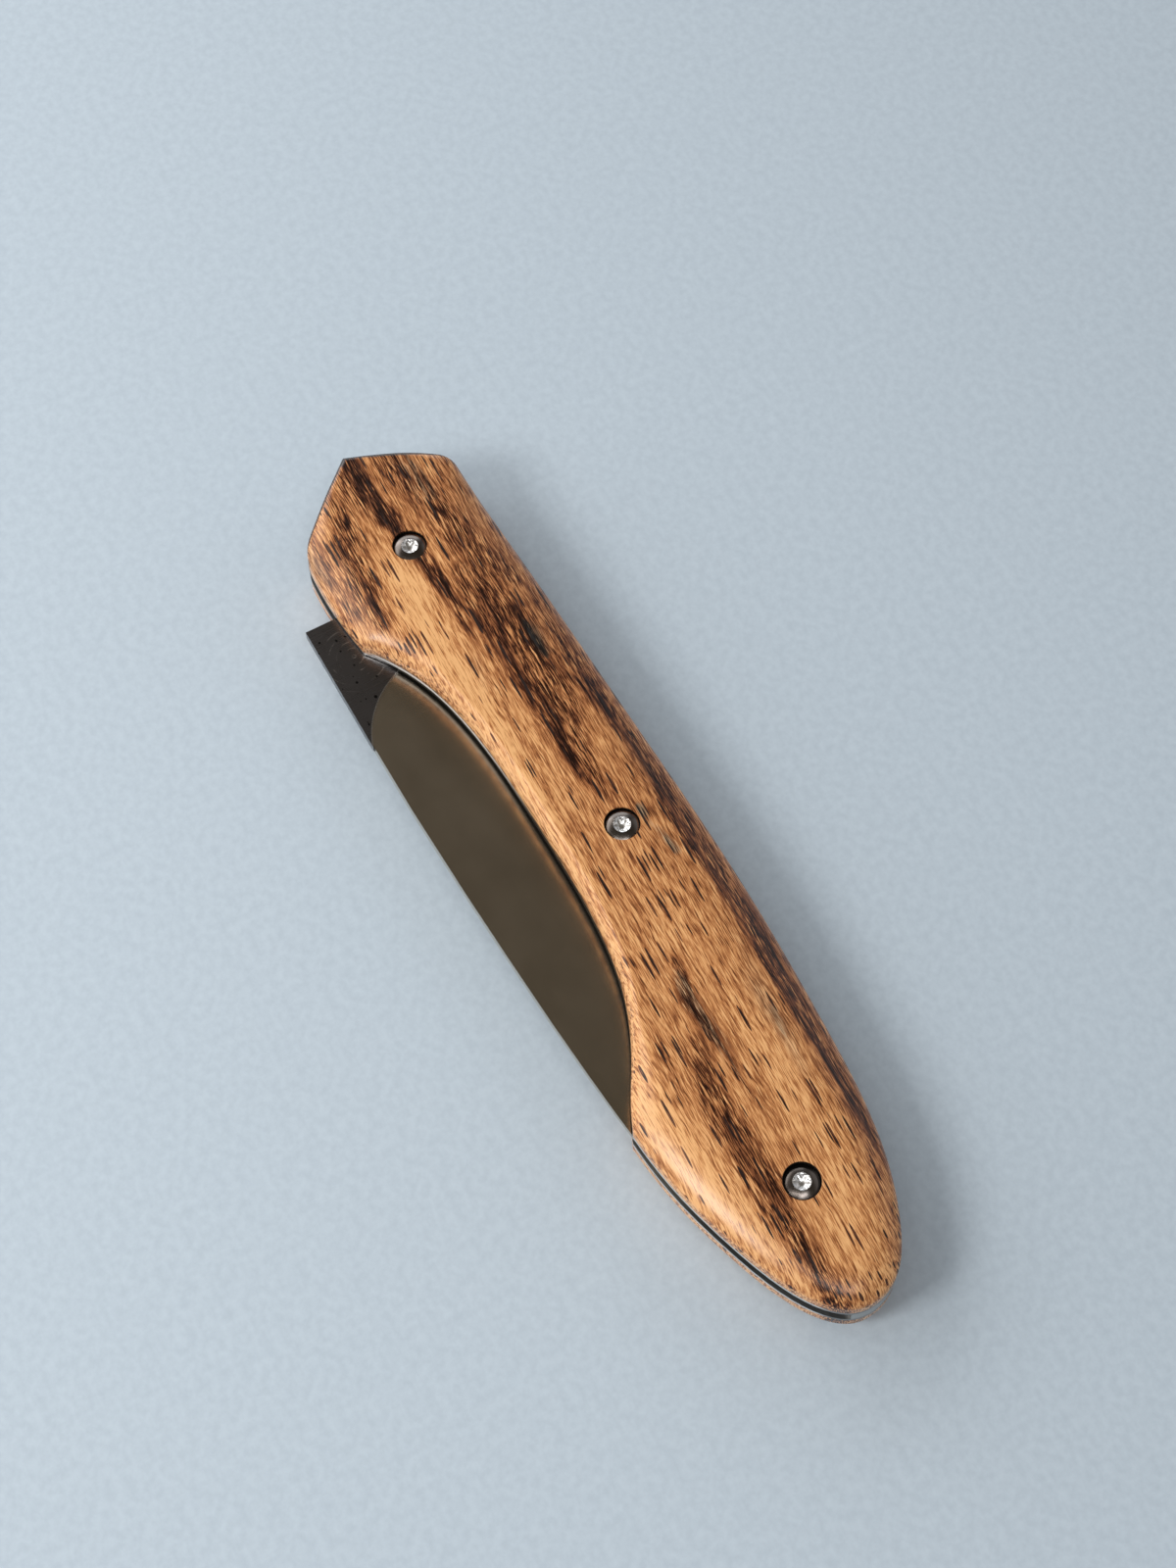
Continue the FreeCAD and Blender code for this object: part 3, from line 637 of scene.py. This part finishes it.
LINES = {
    "pivot_line": ((-60, -0.8, 1.0, 0.9), (-54, -0.9, 1.0, 1.0), (-48, -0.7, 1.0, 0.8),
        (-43, -0.2, 0.6, 0.45), (-39, 0.1, 0.85, 0.4), (-35, 0.0, 0.55, 0.3), (-31, 0.5, 0.65, 0.4),
        (-27, 0.6, 0.0, 0.3)),
    "over_pivot": ((-42, 1.2, 0.0, 0.3), (-39, 1.1, 0.75, 0.35), (-35, 1.2, 0.75, 0.35),
        (-32, 2.2, 0.75, 0.6), (-28, 2.3, 0.65, 0.4), (-24, 2.4, 0.55, 0.4), (-19, 2.3, 0.45, 0.3),
        (-15, 2.2, 0.0, 0.3)),
    "band_core": ((-38, 3.4, 0.0, 0.4), (-34, 4.2, 0.6, 0.6), (-31, 4.3, 0.7, 0.8), (-27, 3.4, 0.45, 0.5),
        (-22, 3.4, 0.45, 0.5), (-17, 3.8, 0.75, 0.6), (-13, 3.1, 1.0, 0.7), (-9.5, 2.9, 0.75, 0.5),
        (-6, 3.6, 0.35, 0.4), (-2, 4.7, 0.0, 0.3)),
    "over_band": ((-33, 7.0, 0.0, 0.5), (-30, 6.8, 0.8, 0.6), (-27, 6.9, 0.7, 0.8), (-23, 7.1, 0.5, 0.6),
        (-18, 8.8, 0.65, 0.5), (-14, 9.3, 0.55, 0.4), (-10, 9.0, 0.0, 0.3)),
    "back_line": ((-24, 9.9, 0.0, 0.3), (-17, 9.6, 0.75, 0.5), (-9, 9.9, 0.75, 0.5), (-1, 9.6, 0.9, 0.55),
        (5, 9.5, 1.0, 0.5), (12, 9.5, 0.95, 0.4), (17, 9.2, 0.65, 0.4), (23, 9.2, 0.85, 0.4),
        (31, 9.3, 0.75, 0.35), (40, 9.2, 0.65, 0.35), (47, 9.0, 0.55, 0.3), (51, 8.0, 0.0, 0.3)),
    "black_patch": ((14, 1.2, 0.0, 0.4), (17.5, 0.8, 1.0, 1.0), (20.5, 0.1, 1.0, 1.3), (24, 0.0, 1.0, 1.3),
        (28, 0.4, 0.8, 0.9), (33, 0.3, 0.65, 0.4), (37, 0.3, 0.4, 0.3), (41, 0.2, 0.0, 0.3)),
    "butt_core": ((30, -3.6, 0.0, 0.6), (34, -3.7, 0.35, 0.8), (38, -3.8, 0.45, 0.9), (42, -3.6, 0.4, 0.9),
        (48, -3.4, 0.35, 0.8), (53, -2.9, 0.2, 0.6), (57, -2.6, 0.0, 0.4)),
    "chin_line": ((-53, -4.6, 0.0, 0.4), (-51, -5.0, 0.85, 0.45), (-49.5, -6.2, 0.5, 0.5),
        (-48.5, -7.1, 0.7, 0.4), (-45, -6.6, 0.5, 0.4), (-40, -7.1, 0.7, 0.5), (-37, -7.2, 0.5, 0.4),
        (-34, -7.4, 0.0, 0.3)),
    "edge_line": ((8, 11.6, 0.0, 0.6), (15, 11.8, 0.6, 0.6), (20, 11.2, 0.6, 0.6), (28, 10.9, 0.5, 0.5),
        (40, 10.4, 0.4, 0.4), (45, 9.9, 0.0, 0.3)),
}
PALE = {
    # This streak makes the wood lighter along the cut-out and along the belly of the butt.
    "pale_along_belly": ((-48, -2.2, 0.0, 1.4), (-41, -2.8, 0.8, 1.8), (-30, -3.0, 1.0, 1.8), (-20, -3.0, 1.0, 1.6),
        (-10, -3.0, 0.9, 1.3), (0, -3.2, 0.8, 1.0), (8, -3.6, 0.5, 0.8), (16, -4.8, 0.35, 0.9),
        (24, -7.4, 0.3, 1.0), (34, -9.4, 0.7, 2.0), (44, -7.8, 0.7, 1.8), (53, -5.2, 0.3, 1.0)),
    "butt_gold": ((22, 4.2, 0.0, 2.0), (30, 4.6, 0.7, 2.6), (44, 3.8, 0.7, 2.6), (56, 2.2, 0.7, 2.0)),
}
GREY = {
    "back_smudge": ((-31, 7.0, 0.0, 0.6), (-27.5, 7.0, 0.9, 0.9), (-24.5, 7.0, 0.9, 0.8),
        (-22, 7.2, 0.0, 0.5)),
    "small_smudge": ((-3, 6.6, 0.0, 0.4), (-1.4, 6.6, 0.9, 0.5), (0.4, 6.8, 0.4, 0.5), (4.6, 7.6, 0.8, 0.7),
        (6.6, 7.6, 0.0, 0.4)),
    "rear_smudge": ((24, 7.0, 0.0, 0.5), (27, 7.2, 0.7, 0.9), (30, 7.0, 0.5, 0.8), (33, 7.0, 0.0, 0.5)),
    "head_smudge": ((-59, 5.0, 0.3, 2.0), (-53, 5.0, 0.5, 2.2), (-48, 5.5, 0.3, 2.0), (-44, 6.0, 0.0, 1.5)),
    "patch_smudge": ((15, 0.4, 0.0, 1.0), (20, 0.2, 0.6, 1.2), (25, 0.2, 0.6, 1.2), (31, 0.3, 0.4, 0.8),
        (36, 0.3, 0.0, 0.6)),
}
print("streaks of each kind:", [len(table) for table in (STAINS, LINES, PALE, GREY)])

# %% [markdown]
# The grain is not straight: its lines waver a little from side to side. So the place is first pushed across
# the grain by slow noise, and the noise of the wood reads that pushed place. Only the flecks stay straight.
# Places are Object coordinates, so that a finish moves with its piece.

# %% Wood grain
GRAIN_TURN = (0.0, 0.0, 0.03)
SWAY, SWAY_WAVES = 0.0006, (0.16, 0.25, 0.25)


def new_finish(name):
    """A new material; gives it, its tree and its shader."""
    made = bpy.data.materials.new(name)
    made.use_nodes = True
    return made, made.node_tree, made.node_tree.nodes["Principled BSDF"]


def object_place(tree):
    """The place on a piece, in the frame's own axes."""
    return add(tree, "ShaderNodeTexCoord").outputs["Object"]


beech, wood, wood_shader = new_finish("spalted_beech")
rest = object_place(wood)
sway = maths(wood, "SUBTRACT", drawn_noise(wood, rest, SWAY_WAVES, 2.0), 0.5)
sway = times(wood, sway, SWAY)
push = add(wood, "ShaderNodeCombineXYZ", {"Y": sway, "Z": sway}).outputs[0]
pushed = add(wood, "ShaderNodeVectorMath", {0: rest, 1: push}, operation="ADD").outputs[0]
grain_place, straight_place = (
    add(wood, "ShaderNodeMapping", {"Vector": place, "Rotation": GRAIN_TURN}).outputs[0]
    for place in (pushed, rest))


def grain_noise(per_mm, detail):
    """Noise drawn out along the grain, with 0 as its middle."""
    return maths(wood, "SUBTRACT", drawn_noise(wood, grain_place, per_mm, detail), 0.5)


fibre = grain_noise((0.5, 8.0, 2.2), 2.0)
strand = grain_noise((0.13, 2.0, 1.0), 3.0)
figure = grain_noise((0.07, 0.7, 0.7), 3.0)
waver = grain_noise((0.10, 0.5, 0.5), 3.0)
bleach = grain_noise((0.03, 0.16, 0.16), 2.0)
fleck = use_group(wood, flecks, {"Vector": straight_place})
print("grain: pushed by up to %.1f mm" % (SWAY * PER_METRE / 2))

# %% [markdown]
# Now the streaks enter the wood. Each has a curve node with three curves, and of each kind the strongest
# streak at a place counts. A clean edge would look painted, so strands and fibres fray it.

# %% Streaks in the grain
ALONG_LOW, ALONG_SPAN = -60.0, 120.0


def axes_in_mm(tree, place):
    """The three coordinates of a place, in millimetres."""
    parts = add(tree, "ShaderNodeSeparateXYZ", {"Vector": place}).outputs
    return [times(tree, part, PER_METRE) for part in parts]


wood_x, wood_y, wood_z = axes_in_mm(wood, rest)
along = weigh(wood, wood_x, 1.0 / ALONG_SPAN, -ALONG_LOW / ALONG_SPAN)


def draw_streak(rows):
    """A curve node that gives place, strength and half width of a streak along the handle."""
    made = add(wood, "ShaderNodeRGBCurve", {"Color": along})
    ranges = ((ACROSS_LOW, ACROSS_SPAN), (0.0, 1.0), (0.0, WIDEST_HALF))
    for channel, (low, span) in enumerate(ranges):
        curve = made.mapping.curves[channel]
        marks = [((row[0] - ALONG_LOW) / ALONG_SPAN, (row[channel + 1] - low) / span) for row in rows]
        ends = ((0.0, marks[0][1]), (1.0, marks[-1][1]))
        for point, place in zip(curve.points, ends):
            point.location = place
        for place in marks:
            if 0.0 < place[0] < 1.0:
                curve.points.new(*place)
    made.mapping.update()
    return made.outputs["Color"]


def strongest(table):
    """The strongest of a table's streaks at each place."""
    most = 0.0
    for rows in table.values():
        mask = use_group(wood, streak, {"Across": wood_y, "Line": draw_streak(rows), "Waver": waver})
        most = maths(wood, "MAXIMUM", mask, most)
    return most


def frayed(mask, by_strands, by_fibres, low, high):
    """A mask whose edge is frayed along the strands and fibres."""
    mask = weigh(wood, strand, by_strands, mask)
    mask = weigh(wood, fibre, by_fibres, mask)
    return ease(wood, mask, low, high)


stained = frayed(strongest(STAINS), by_strands=1.4, by_fibres=0.9, low=0.12, high=0.80)
lined = frayed(strongest(LINES), by_strands=1.8, by_fibres=2.4, low=0.38, high=0.80)
pale = strongest(PALE)
grey = frayed(strongest(GREY), by_strands=1.2, by_fibres=0.8, low=0.30, high=0.90)
print("curve nodes:", sum(item.bl_idname == "ShaderNodeRGBCurve" for item in wood.nodes))

# %% [markdown]
# Next, everything adds up to a tone, and the tone becomes a colour. A ramp runs from almost black over
# red-brown and golden brown to pale tan; a second, greyer ramp takes over where the rot has bleached it.

# %% Tone and colour
GROUND_TONE, TONE_PER_MM = 0.72, -0.008
WOOD_TONES = (
    (0.0, (0.014, 0.004, 0.002, 1)), (0.2, (0.070, 0.022, 0.010, 1)), (0.4, (0.215, 0.072, 0.027, 1)),
    (0.6, (0.440, 0.171, 0.060, 1)), (0.8, (0.675, 0.310, 0.118, 1)), (1.0, (0.900, 0.497, 0.215, 1)))
GREY_TONES = (
    (0.0, (0.012, 0.009, 0.008, 1)), (0.4, (0.130, 0.085, 0.052, 1)), (0.7, (0.380, 0.240, 0.135, 1)),
    (1.0, (0.720, 0.500, 0.310, 1)))
BLEACH_BORDER = (0.08, 0.4)

mixed = times(wood, fibre, maths(wood, "MAXIMUM", stained, lined))
tone = weigh(wood, wood_y, TONE_PER_MM, GROUND_TONE)
for value, weight in ((fibre, 2.1), (strand, 0.7), (figure, 0.45), (pale, 0.22), (stained, -0.39),
                      (lined, -0.43), (fleck, -0.68), (grey, -0.15), (mixed, 1.8)):
    tone = weigh(wood, value, weight, tone)


def blend(tree, share, first, second):
    """A colour between two: the first at share 0, the second at share 1."""
    return add(tree, "ShaderNodeMix", {0: share, 6: first, 7: second}, data_type="RGBA").outputs[2]


def tone_ramp(tones):
    """A colour ramp over the tone."""
    made = add(wood, "ShaderNodeValToRGB", {"Fac": tone})
    steps = made.color_ramp.elements
    while len(steps) < len(tones):
        steps.new(1.0)
    for step, (position, colour) in zip(steps, tones):
        step.position = position
        step.color = colour
    return made.outputs["Color"]


bleached = maths(wood, "MAXIMUM", ease(wood, bleach, *BLEACH_BORDER), grey)
wood_colour = blend(wood, bleached, tone_ramp(WOOD_TONES), tone_ramp(GREY_TONES))
print("tones:", len(WOOD_TONES), "golden,", len(GREY_TONES), "grey")

# %% [markdown]
# Shade and highlight are painted along the cut-out. The foot of the wall there is painted black as shade, but
# pale near the blade's square end, a painted highlight for the lit liner edge, and the wall above it is
# darkened as painted shade. A picture could hold this; masks of the place need no picture. A mask has two
# borders, in millimetres, between which it fades.

# %% Painted shade and highlight along the cut-out
# Along the cut-out the pale colour is a painted highlight, and the black is painted shade.
BLACK, PAINTED_EDGE_HIGHLIGHT = (0.012, 0.010, 0.009, 1), (0.72, 0.70, 0.68, 1)
CUT_OUT_HEAD, CUT_OUT_BUTT, BELLY_SIDE = (-36.6, -34.2), (27.6, 25.2), (0.5, -0.5)
WALL_SHADE_BELOW, WALL_SHADE_STRENGTH = (2.7, 1.9), 0.55
FOOT_BELOW, BRIGHT_TO_BLACK = (1.95, 1.75), (-20.4, -6.0)

middle = float(box_in_mm("blade")[:, 2].mean())
off_middle = maths(wood, "ABSOLUTE", maths(wood, "SUBTRACT", wood_z, middle))
in_cut_out = times(wood, ease(wood, wood_x, *CUT_OUT_HEAD), ease(wood, wood_x, *CUT_OUT_BUTT),
                   ease(wood, wood_y, *BELLY_SIDE))
# The wall above the foot gets painted shade.
painted_wall_shade = times(wood, ease(wood, off_middle, *WALL_SHADE_BELOW), WALL_SHADE_STRENGTH, in_cut_out)
wood_colour = blend(wood, painted_wall_shade, wood_colour, BLACK)
# The foot gets a painted highlight near the square end and painted shade beyond it.
foot_shade_and_highlight = blend(wood, ease(wood, wood_x, *BRIGHT_TO_BLACK), PAINTED_EDGE_HIGHLIGHT, BLACK)
foot = times(wood, ease(wood, off_middle, *FOOT_BELOW), in_cut_out)
wood_colour = blend(wood, foot, wood_colour, foot_shade_and_highlight)
print("middle of the knife: %.2f mm over the paper" % middle)

# %% [markdown]
# The end grain at the head drinks oil and is dark, and the walls of the bores round the screws are painted
# dark as shade. Masks tell them by the distance from the two faces of the head, inward, and from the axes of
# the screws.

# %% Dark ends and painted shade in the bores
END_GRAIN = ((0.910, -0.415, 0.48), (0.745, 0.667, 0.50))
END_FADE, END_DARK = 0.25, 0.9
BORE_RADII, BORE_BELOW = (2.13, 2.07), (5.14, 5.04)


def ring(tree, x, y, centre):
    """Distance of a place from an upright axis: the root of the sum of the squares of its two offsets."""
    off_x = maths(tree, "SUBTRACT", x, float(centre[0]))
    off_y = maths(tree, "SUBTRACT", y, float(centre[1]))
    return maths(tree, "SQRT", weigh(tree, off_x, off_x, times(tree, off_y, off_y)))


dark_ends_and_bore_shade = 0.0
for side_x, side_y, far in END_GRAIN:
    start = -side_x * HEAD_END[0][0] - side_y * HEAD_END[0][1]
    inward = weigh(wood, wood_x, side_x, start)
    inward = weigh(wood, wood_y, side_y, inward)
    ended = times(wood, ease(wood, inward, far, far - END_FADE), END_DARK)
    dark_ends_and_bore_shade = maths(wood, "MAXIMUM", ended, dark_ends_and_bore_shade)
deep = ease(wood, off_middle, *BORE_BELOW)
# The bore walls are painted black as shade.
for seat in seats[1]:
    bore_shade = times(wood, ease(wood, ring(wood, wood_x, wood_y, seat), *BORE_RADII), deep)
    dark_ends_and_bore_shade = maths(wood, "MAXIMUM", bore_shade, dark_ends_and_bore_shade)
wood_colour = blend(wood, dark_ends_and_bore_shade, wood_colour, BLACK)
print("darkened:", len(END_GRAIN), "ends,", len(seats[1]), "bores")

# %% [markdown]
# Last comes the surface. The wood is oiled and rubbed, so a thin, soft coat lies over it. The fibres that
# colour it also roughen it and raise it a little, which gives the silky highlight, and the flecks are open
# pores, sunk and dull. Real relief would cost millions of faces; a bump only bends the light.

# %% Wood surface
ROUGH, ROUGH_BY_FIBRE, ROUGH_BY_FLECK = 0.28, 0.4, 0.2
FLECK_SINK = -0.8

rough = weigh(wood, fibre, ROUGH_BY_FIBRE, ROUGH)
rough = weigh(wood, fleck, ROUGH_BY_FLECK, rough)
relief = weigh(wood, fleck, FLECK_SINK, fibre)
raised = add(wood, "ShaderNodeBump", {"Height": relief, "Strength": 0.3, "Distance": 0.00004})
plug(wood, wood_shader.inputs["Base Color"], wood_colour)
plug(wood, wood_shader.inputs["Roughness"], rough)
plug(wood, wood_shader.inputs["Normal"], raised.outputs["Normal"])
wood_shader.inputs["Specular IOR Level"].default_value = 0.32
wood_shader.inputs["Coat Weight"].default_value = 0.28
wood_shader.inputs["Coat Roughness"].default_value = 0.28
for piece in scales:
    piece.data.materials.clear()
    piece.data.materials.append(beech)
print("wood:", len(wood.nodes), "nodes")

# %% [markdown]
# ## Steel
# The steels differ in colour and polish but not in kind, so one function makes them: a bare metal whose
# roughness and relief follow fine lines, drawn out along the way that the piece was rubbed down. Slow clouds
# dim it here and there, because no hand-rubbed steel is even. The washers' bronze is made the same way.

# %% Steel finishes
CLOUDS, CLOUD_DIMMING = (0.12, 0.2, 0.2), 0.8
SCRATCH_DEPTH = 0.00002
STEELS = {
    "blade_steel": ((0.62, 0.55, 0.45, 1), 0.22, (14.0, 0.15, 0.15), 0.08, 0.02),
    "liner_steel": ((0.92, 0.92, 0.91, 1), 0.34, (0.3, 6.0, 9.0), 0.10, 0.15),
    "spring_steel": ((0.50, 0.50, 0.49, 1), 0.35, (0.3, 6.0, 9.0), 0.10, 0.15),
    "barrel_steel": ((0.55, 0.55, 0.54, 1), 0.30, (0.6, 0.6, 12.0), 0.10, 0.15),
    "screw_steel": ((0.20, 0.172, 0.155, 1), 0.22, (4.0, 4.0, 4.0), 0.08, 0.06),
    "washer_bronze": ((0.68, 0.48, 0.27, 1), 0.30, (5.0, 5.0, 5.0), 0.12, 0.10),
}


def steel_finish(name, colour, rough, lines, uneven, relief):
    """Bare metal: colour, roughness, lines per mm along each axis, how far they roughen and raise it."""
    made, tree, shader = new_finish(name)
    place = object_place(tree)
    rubbed = drawn_noise(tree, place, lines, 3.0)
    clouds = drawn_noise(tree, place, CLOUDS, 3.0)
    dimmed = tuple(CLOUD_DIMMING * part for part in colour[:3]) + (1,)
    base = weigh(tree, clouds, uneven, rough - uneven)
    bump = add(tree, "ShaderNodeBump", {"Height": rubbed, "Strength": relief, "Distance": SCRATCH_DEPTH})
    plug(tree, shader.inputs["Base Color"], blend(tree, clouds, dimmed, colour))
    plug(tree, shader.inputs["Roughness"], weigh(tree, rubbed, uneven, base))
    plug(tree, shader.inputs["Normal"], bump.outputs["Normal"])
    shader.inputs["Metallic"].default_value = 1.0
    return made


steels = {name: steel_finish(name, *values) for name, values in STEELS.items()}
for piece in frame["record"]["subparts"]:
    if piece["material_slot"] in steels:
        materials = nodes[piece["node"]].data.materials
        materials.clear()
        materials.append(steels[piece["material_slot"]])
for piece in screws:
    piece.data.materials.append(steels["screw_steel"])
print("steels:", ", ".join(steels))

# %% [markdown]
# Three steels need more. The blade's square end was left as it came from the rolling, dull and dark, with
# pits and faint round rub marks, and the grind is polished warm. The border between them is the plunge, an
# arc whose highlight is painted on as a pale line, so the masks of the blade are distances from two centres.

# %% Blade details
PLUNGE_CENTRE, PLUNGE_RADIUS = (-21.3, -3.69), 12.0
HEADWARD, SQUARE_FROM = (-20.8, -21.8), (-0.03, 0.05)
LINE_FROM, LINE_TO = (-0.15, -0.02), (0.12, 0.02)
RUB_CENTRE, RUB_WAVES, RUB_CREST, RUB_REACH = (-36.8, -11.6), 7.0, (0.80, 1.0), (5.2, 3.2)
SCUFFED, PITTED = (0.47, 0.64), (0.70, 0.73)
ROLLED, RUB_COLOUR = (0.155, 0.148, 0.151, 1), (0.46, 0.44, 0.43, 1)
PIT_COLOUR, PLUNGE_HIGHLIGHT = (0.02, 0.02, 0.02, 1), (0.60, 0.58, 0.55, 1)


def open_finish(name):
    """The tree, the shader and the place of a steel that was made before."""
    tree = steels[name].node_tree
    return tree, tree.nodes["Principled BSDF"], object_place(tree)


def cover(tree, shader, mask, colour):
    """Lays a colour over what a shader has so far, where a mask is 1."""
    below = shader.inputs["Base Color"].links[0].from_socket
    plug(tree, shader.inputs["Base Color"], blend(tree, mask, below, colour))


def roughen(tree, shader, mask, amount):
    """Adds to the roughness that a shader has so far, where a mask is 1."""
    below = shader.inputs["Roughness"].links[0].from_socket
    plug(tree, shader.inputs["Roughness"], weigh(tree, mask, amount, below))


tree, shader, place = open_finish("blade_steel")
x, y, _ = axes_in_mm(tree, place)
off_arc = maths(tree, "SUBTRACT", ring(tree, x, y, PLUNGE_CENTRE), PLUNGE_RADIUS)
headward = ease(tree, x, *HEADWARD)
square_end = times(tree, ease(tree, off_arc, *SQUARE_FROM), headward)
plunge_highlight = times(tree, ease(tree, off_arc, *LINE_FROM), ease(tree, off_arc, *LINE_TO), headward)
turns = ring(tree, x, y, RUB_CENTRE)
rub = ease(tree, maths(tree, "SINE", times(tree, turns, RUB_WAVES)), *RUB_CREST)
scuffed = ease(tree, drawn_noise(tree, place, (0.5, 0.5, 0.5), 3.0), *SCUFFED)
rub = times(tree, rub, scuffed, ease(tree, turns, *RUB_REACH))
pits = ease(tree, drawn_noise(tree, place, (1.3, 1.3, 1.3), 1.0), *PITTED)
rolled = blend(tree, pits, blend(tree, rub, ROLLED, RUB_COLOUR), PIT_COLOUR)
cover(tree, shader, square_end, rolled)
# The pale line along the plunge is a painted highlight.
cover(tree, shader, plunge_highlight, PLUNGE_HIGHLIGHT)
roughen(tree, shader, square_end, 0.06)
print("blade:", len(tree.nodes), "nodes")

# %% [markdown]
# The liners are bright along their rubbed edges. Along the cut-out, under the head, on their upper part and
# between the liners they lie in shade, so masks of the place paint that shade into their finish as black.

# %% Painted shade on the liners
LINER_BLACK = (0.012, 0.011, 0.010, 1)
LINER_HEAD, LINER_BUTT, LINER_BELLY = (-36.0, -33.0), (30.6, 29.6), (0.5, -0.5)
UNDER_HEAD, UPPER_PART, INNER_FACE = (-36.2, -37.2), (-5.0, -3.6), (0.90, 0.84)
HALF_DARK, INNER_DARK = 0.7, 0.65

tree, shader, place = open_finish("liner_steel")
x, y, z = axes_in_mm(tree, place)
in_cut_out = times(tree, ease(tree, x, *LINER_HEAD), ease(tree, x, *LINER_BUTT))
under_head = times(tree, ease(tree, x, *UNDER_HEAD), HALF_DARK)
belly = times(tree, maths(tree, "MAXIMUM", in_cut_out, under_head), ease(tree, y, *LINER_BELLY))
upper_part = times(tree, ease(tree, y, *UPPER_PART), HALF_DARK)
off_middle = maths(tree, "ABSOLUTE", maths(tree, "SUBTRACT", z, middle))
inner_face = times(tree, ease(tree, off_middle, *INNER_FACE), INNER_DARK)
# The shaded parts of the liners get painted shade: black over their finish.
painted_liner_shade = maths(tree, "MAXIMUM", maths(tree, "MAXIMUM", belly, upper_part), inner_face)
cover(tree, shader, painted_liner_shade, LINER_BLACK)
print("liners:", len(tree.nodes), "nodes")

# %% [markdown]
# The screws' heads are darkened, but the driver has scraped their sockets bright. The attribute that their
# meshes carry says where, so the finish needs no mask of the place.

# %% Screw details
BARE_STEEL = (0.80, 0.79, 0.78, 1)

tree, shader, _ = open_finish("screw_steel")
bare = add(tree, "ShaderNodeAttribute", attribute_name="bare").outputs["Fac"]
cover(tree, shader, bare, BARE_STEEL)
roughen(tree, shader, bare, 0.08)
print("screws:", len(tree.nodes), "nodes")

# %% [markdown]
# ## Paper
# The knife lies on pale blue-grey paper, dull and faintly mottled. One four-sided face is enough for it, and
# the mottle is noise that is drawn out in no direction.

# %% Paper
PAPER_DARK, PAPER_LIGHT = (0.495, 0.58, 0.66, 1), (0.57, 0.66, 0.74, 1)
MOTTLED = (0.20, 0.80)
PAPER_HALF = 1.5

paper, tree, shader = new_finish("pale_paper")
mottle = ease(tree, drawn_noise(tree, object_place(tree), (0.9, 0.9, 0.9), 5.0), *MOTTLED)
plug(tree, shader.inputs["Base Color"], blend(tree, mottle, PAPER_DARK, PAPER_LIGHT))
shader.inputs["Roughness"].default_value = 0.85
shader.inputs["Specular IOR Level"].default_value = 0.2

ends = np.array([-PAPER_HALF, PAPER_HALF])
spread_x, spread_y = np.meshgrid(ends, ends)
flat = np.stack([spread_x.ravel(), spread_y.ravel(), np.zeros(4)], axis=1)
sheet = bpy.data.meshes.new("paper")
sheet.from_pydata(flat.tolist(), [], [(0, 1, 3, 2)])
sheet.materials.append(paper)
floor = bpy.data.objects.new("paper", sheet)
scene.collection.objects.link(floor)
print("paper: %.0f m wide" % (2 * PAPER_HALF))

# %% [markdown]
# ## Light
# The light comes from a broad window beyond the blade side. One strong lamp would be simpler, but its shadow
# would be hard. Polished things show their surroundings, so a bright pane and two narrow lamps stand where
# the sanded edges and the screws mirror them, and two pale walls fill the shadows. Sizes here are in metres.

# %% Lamps
LAMPS = {
    "window": ((-0.36, -0.33, 0.28), 0.80, 0.46, 2.3, (1.0, 0.98, 0.96)),
    "bright_pane": ((0.02, -0.44, 0.41), 0.15, 0.20, 1.4, (1.0, 0.98, 0.95)),
    "low_strip": ((0.15, -0.17, 0.54), 0.30, 0.05, 0.22, (1.0, 0.99, 0.97)),
    "far_window": ((0.26, -0.02, 0.53), 0.20, 0.07, 0.34, (0.96, 0.98, 1.0)),
    "wall": ((-0.76, 0.15, 0.30), 0.9, 0.5, 2.5, (0.93, 0.97, 1.0)),
    "side_wall": ((0.10, 0.62, 0.36), 0.8, 0.5, 0.4, (0.95, 0.98, 1.0)),
}


def soft_lamp(name, place, width, height, watts, colour):
    """A broad lamp that faces the middle of the knife."""
    lamp = bpy.data.lights.new(name, "AREA")
    lamp.shape = "RECTANGLE"
    lamp.size, lamp.size_y = width, height
    lamp.energy = watts
    lamp.color = colour
    made = bpy.data.objects.new(name, lamp)
    made.location = place
    made.rotation_euler = made.location.to_track_quat("Z", "Y").to_euler()
    scene.collection.objects.link(made)


for name, values in LAMPS.items():
    soft_lamp(name, *values)
print("lamps:", ", ".join(LAMPS))

# %% [markdown]
# The blade mirrors what is above it, and it is dark and warm. A darker steel would be wrong from other sides,
# so the sky of the scene is graded instead: dim and warm overhead, and lighter round the horizon.

# %% Sky
HORIZON, OVERHEAD = (0.28, 0.29, 0.32, 1), (0.10, 0.085, 0.065, 1)
SKY_BORDER = (0.25, 0.80)

sky = bpy.data.worlds.new("room")
sky.use_nodes = True
scene.world = sky
tree = sky.node_tree
direction = add(tree, "ShaderNodeTexCoord").outputs["Generated"]
upward = add(tree, "ShaderNodeSeparateXYZ", {"Vector": direction}).outputs[2]
grade = blend(tree, ease(tree, upward, *SKY_BORDER), HORIZON, OVERHEAD)
plug(tree, tree.nodes["Background"].inputs["Color"], grade)
print("sky:", sky.name)
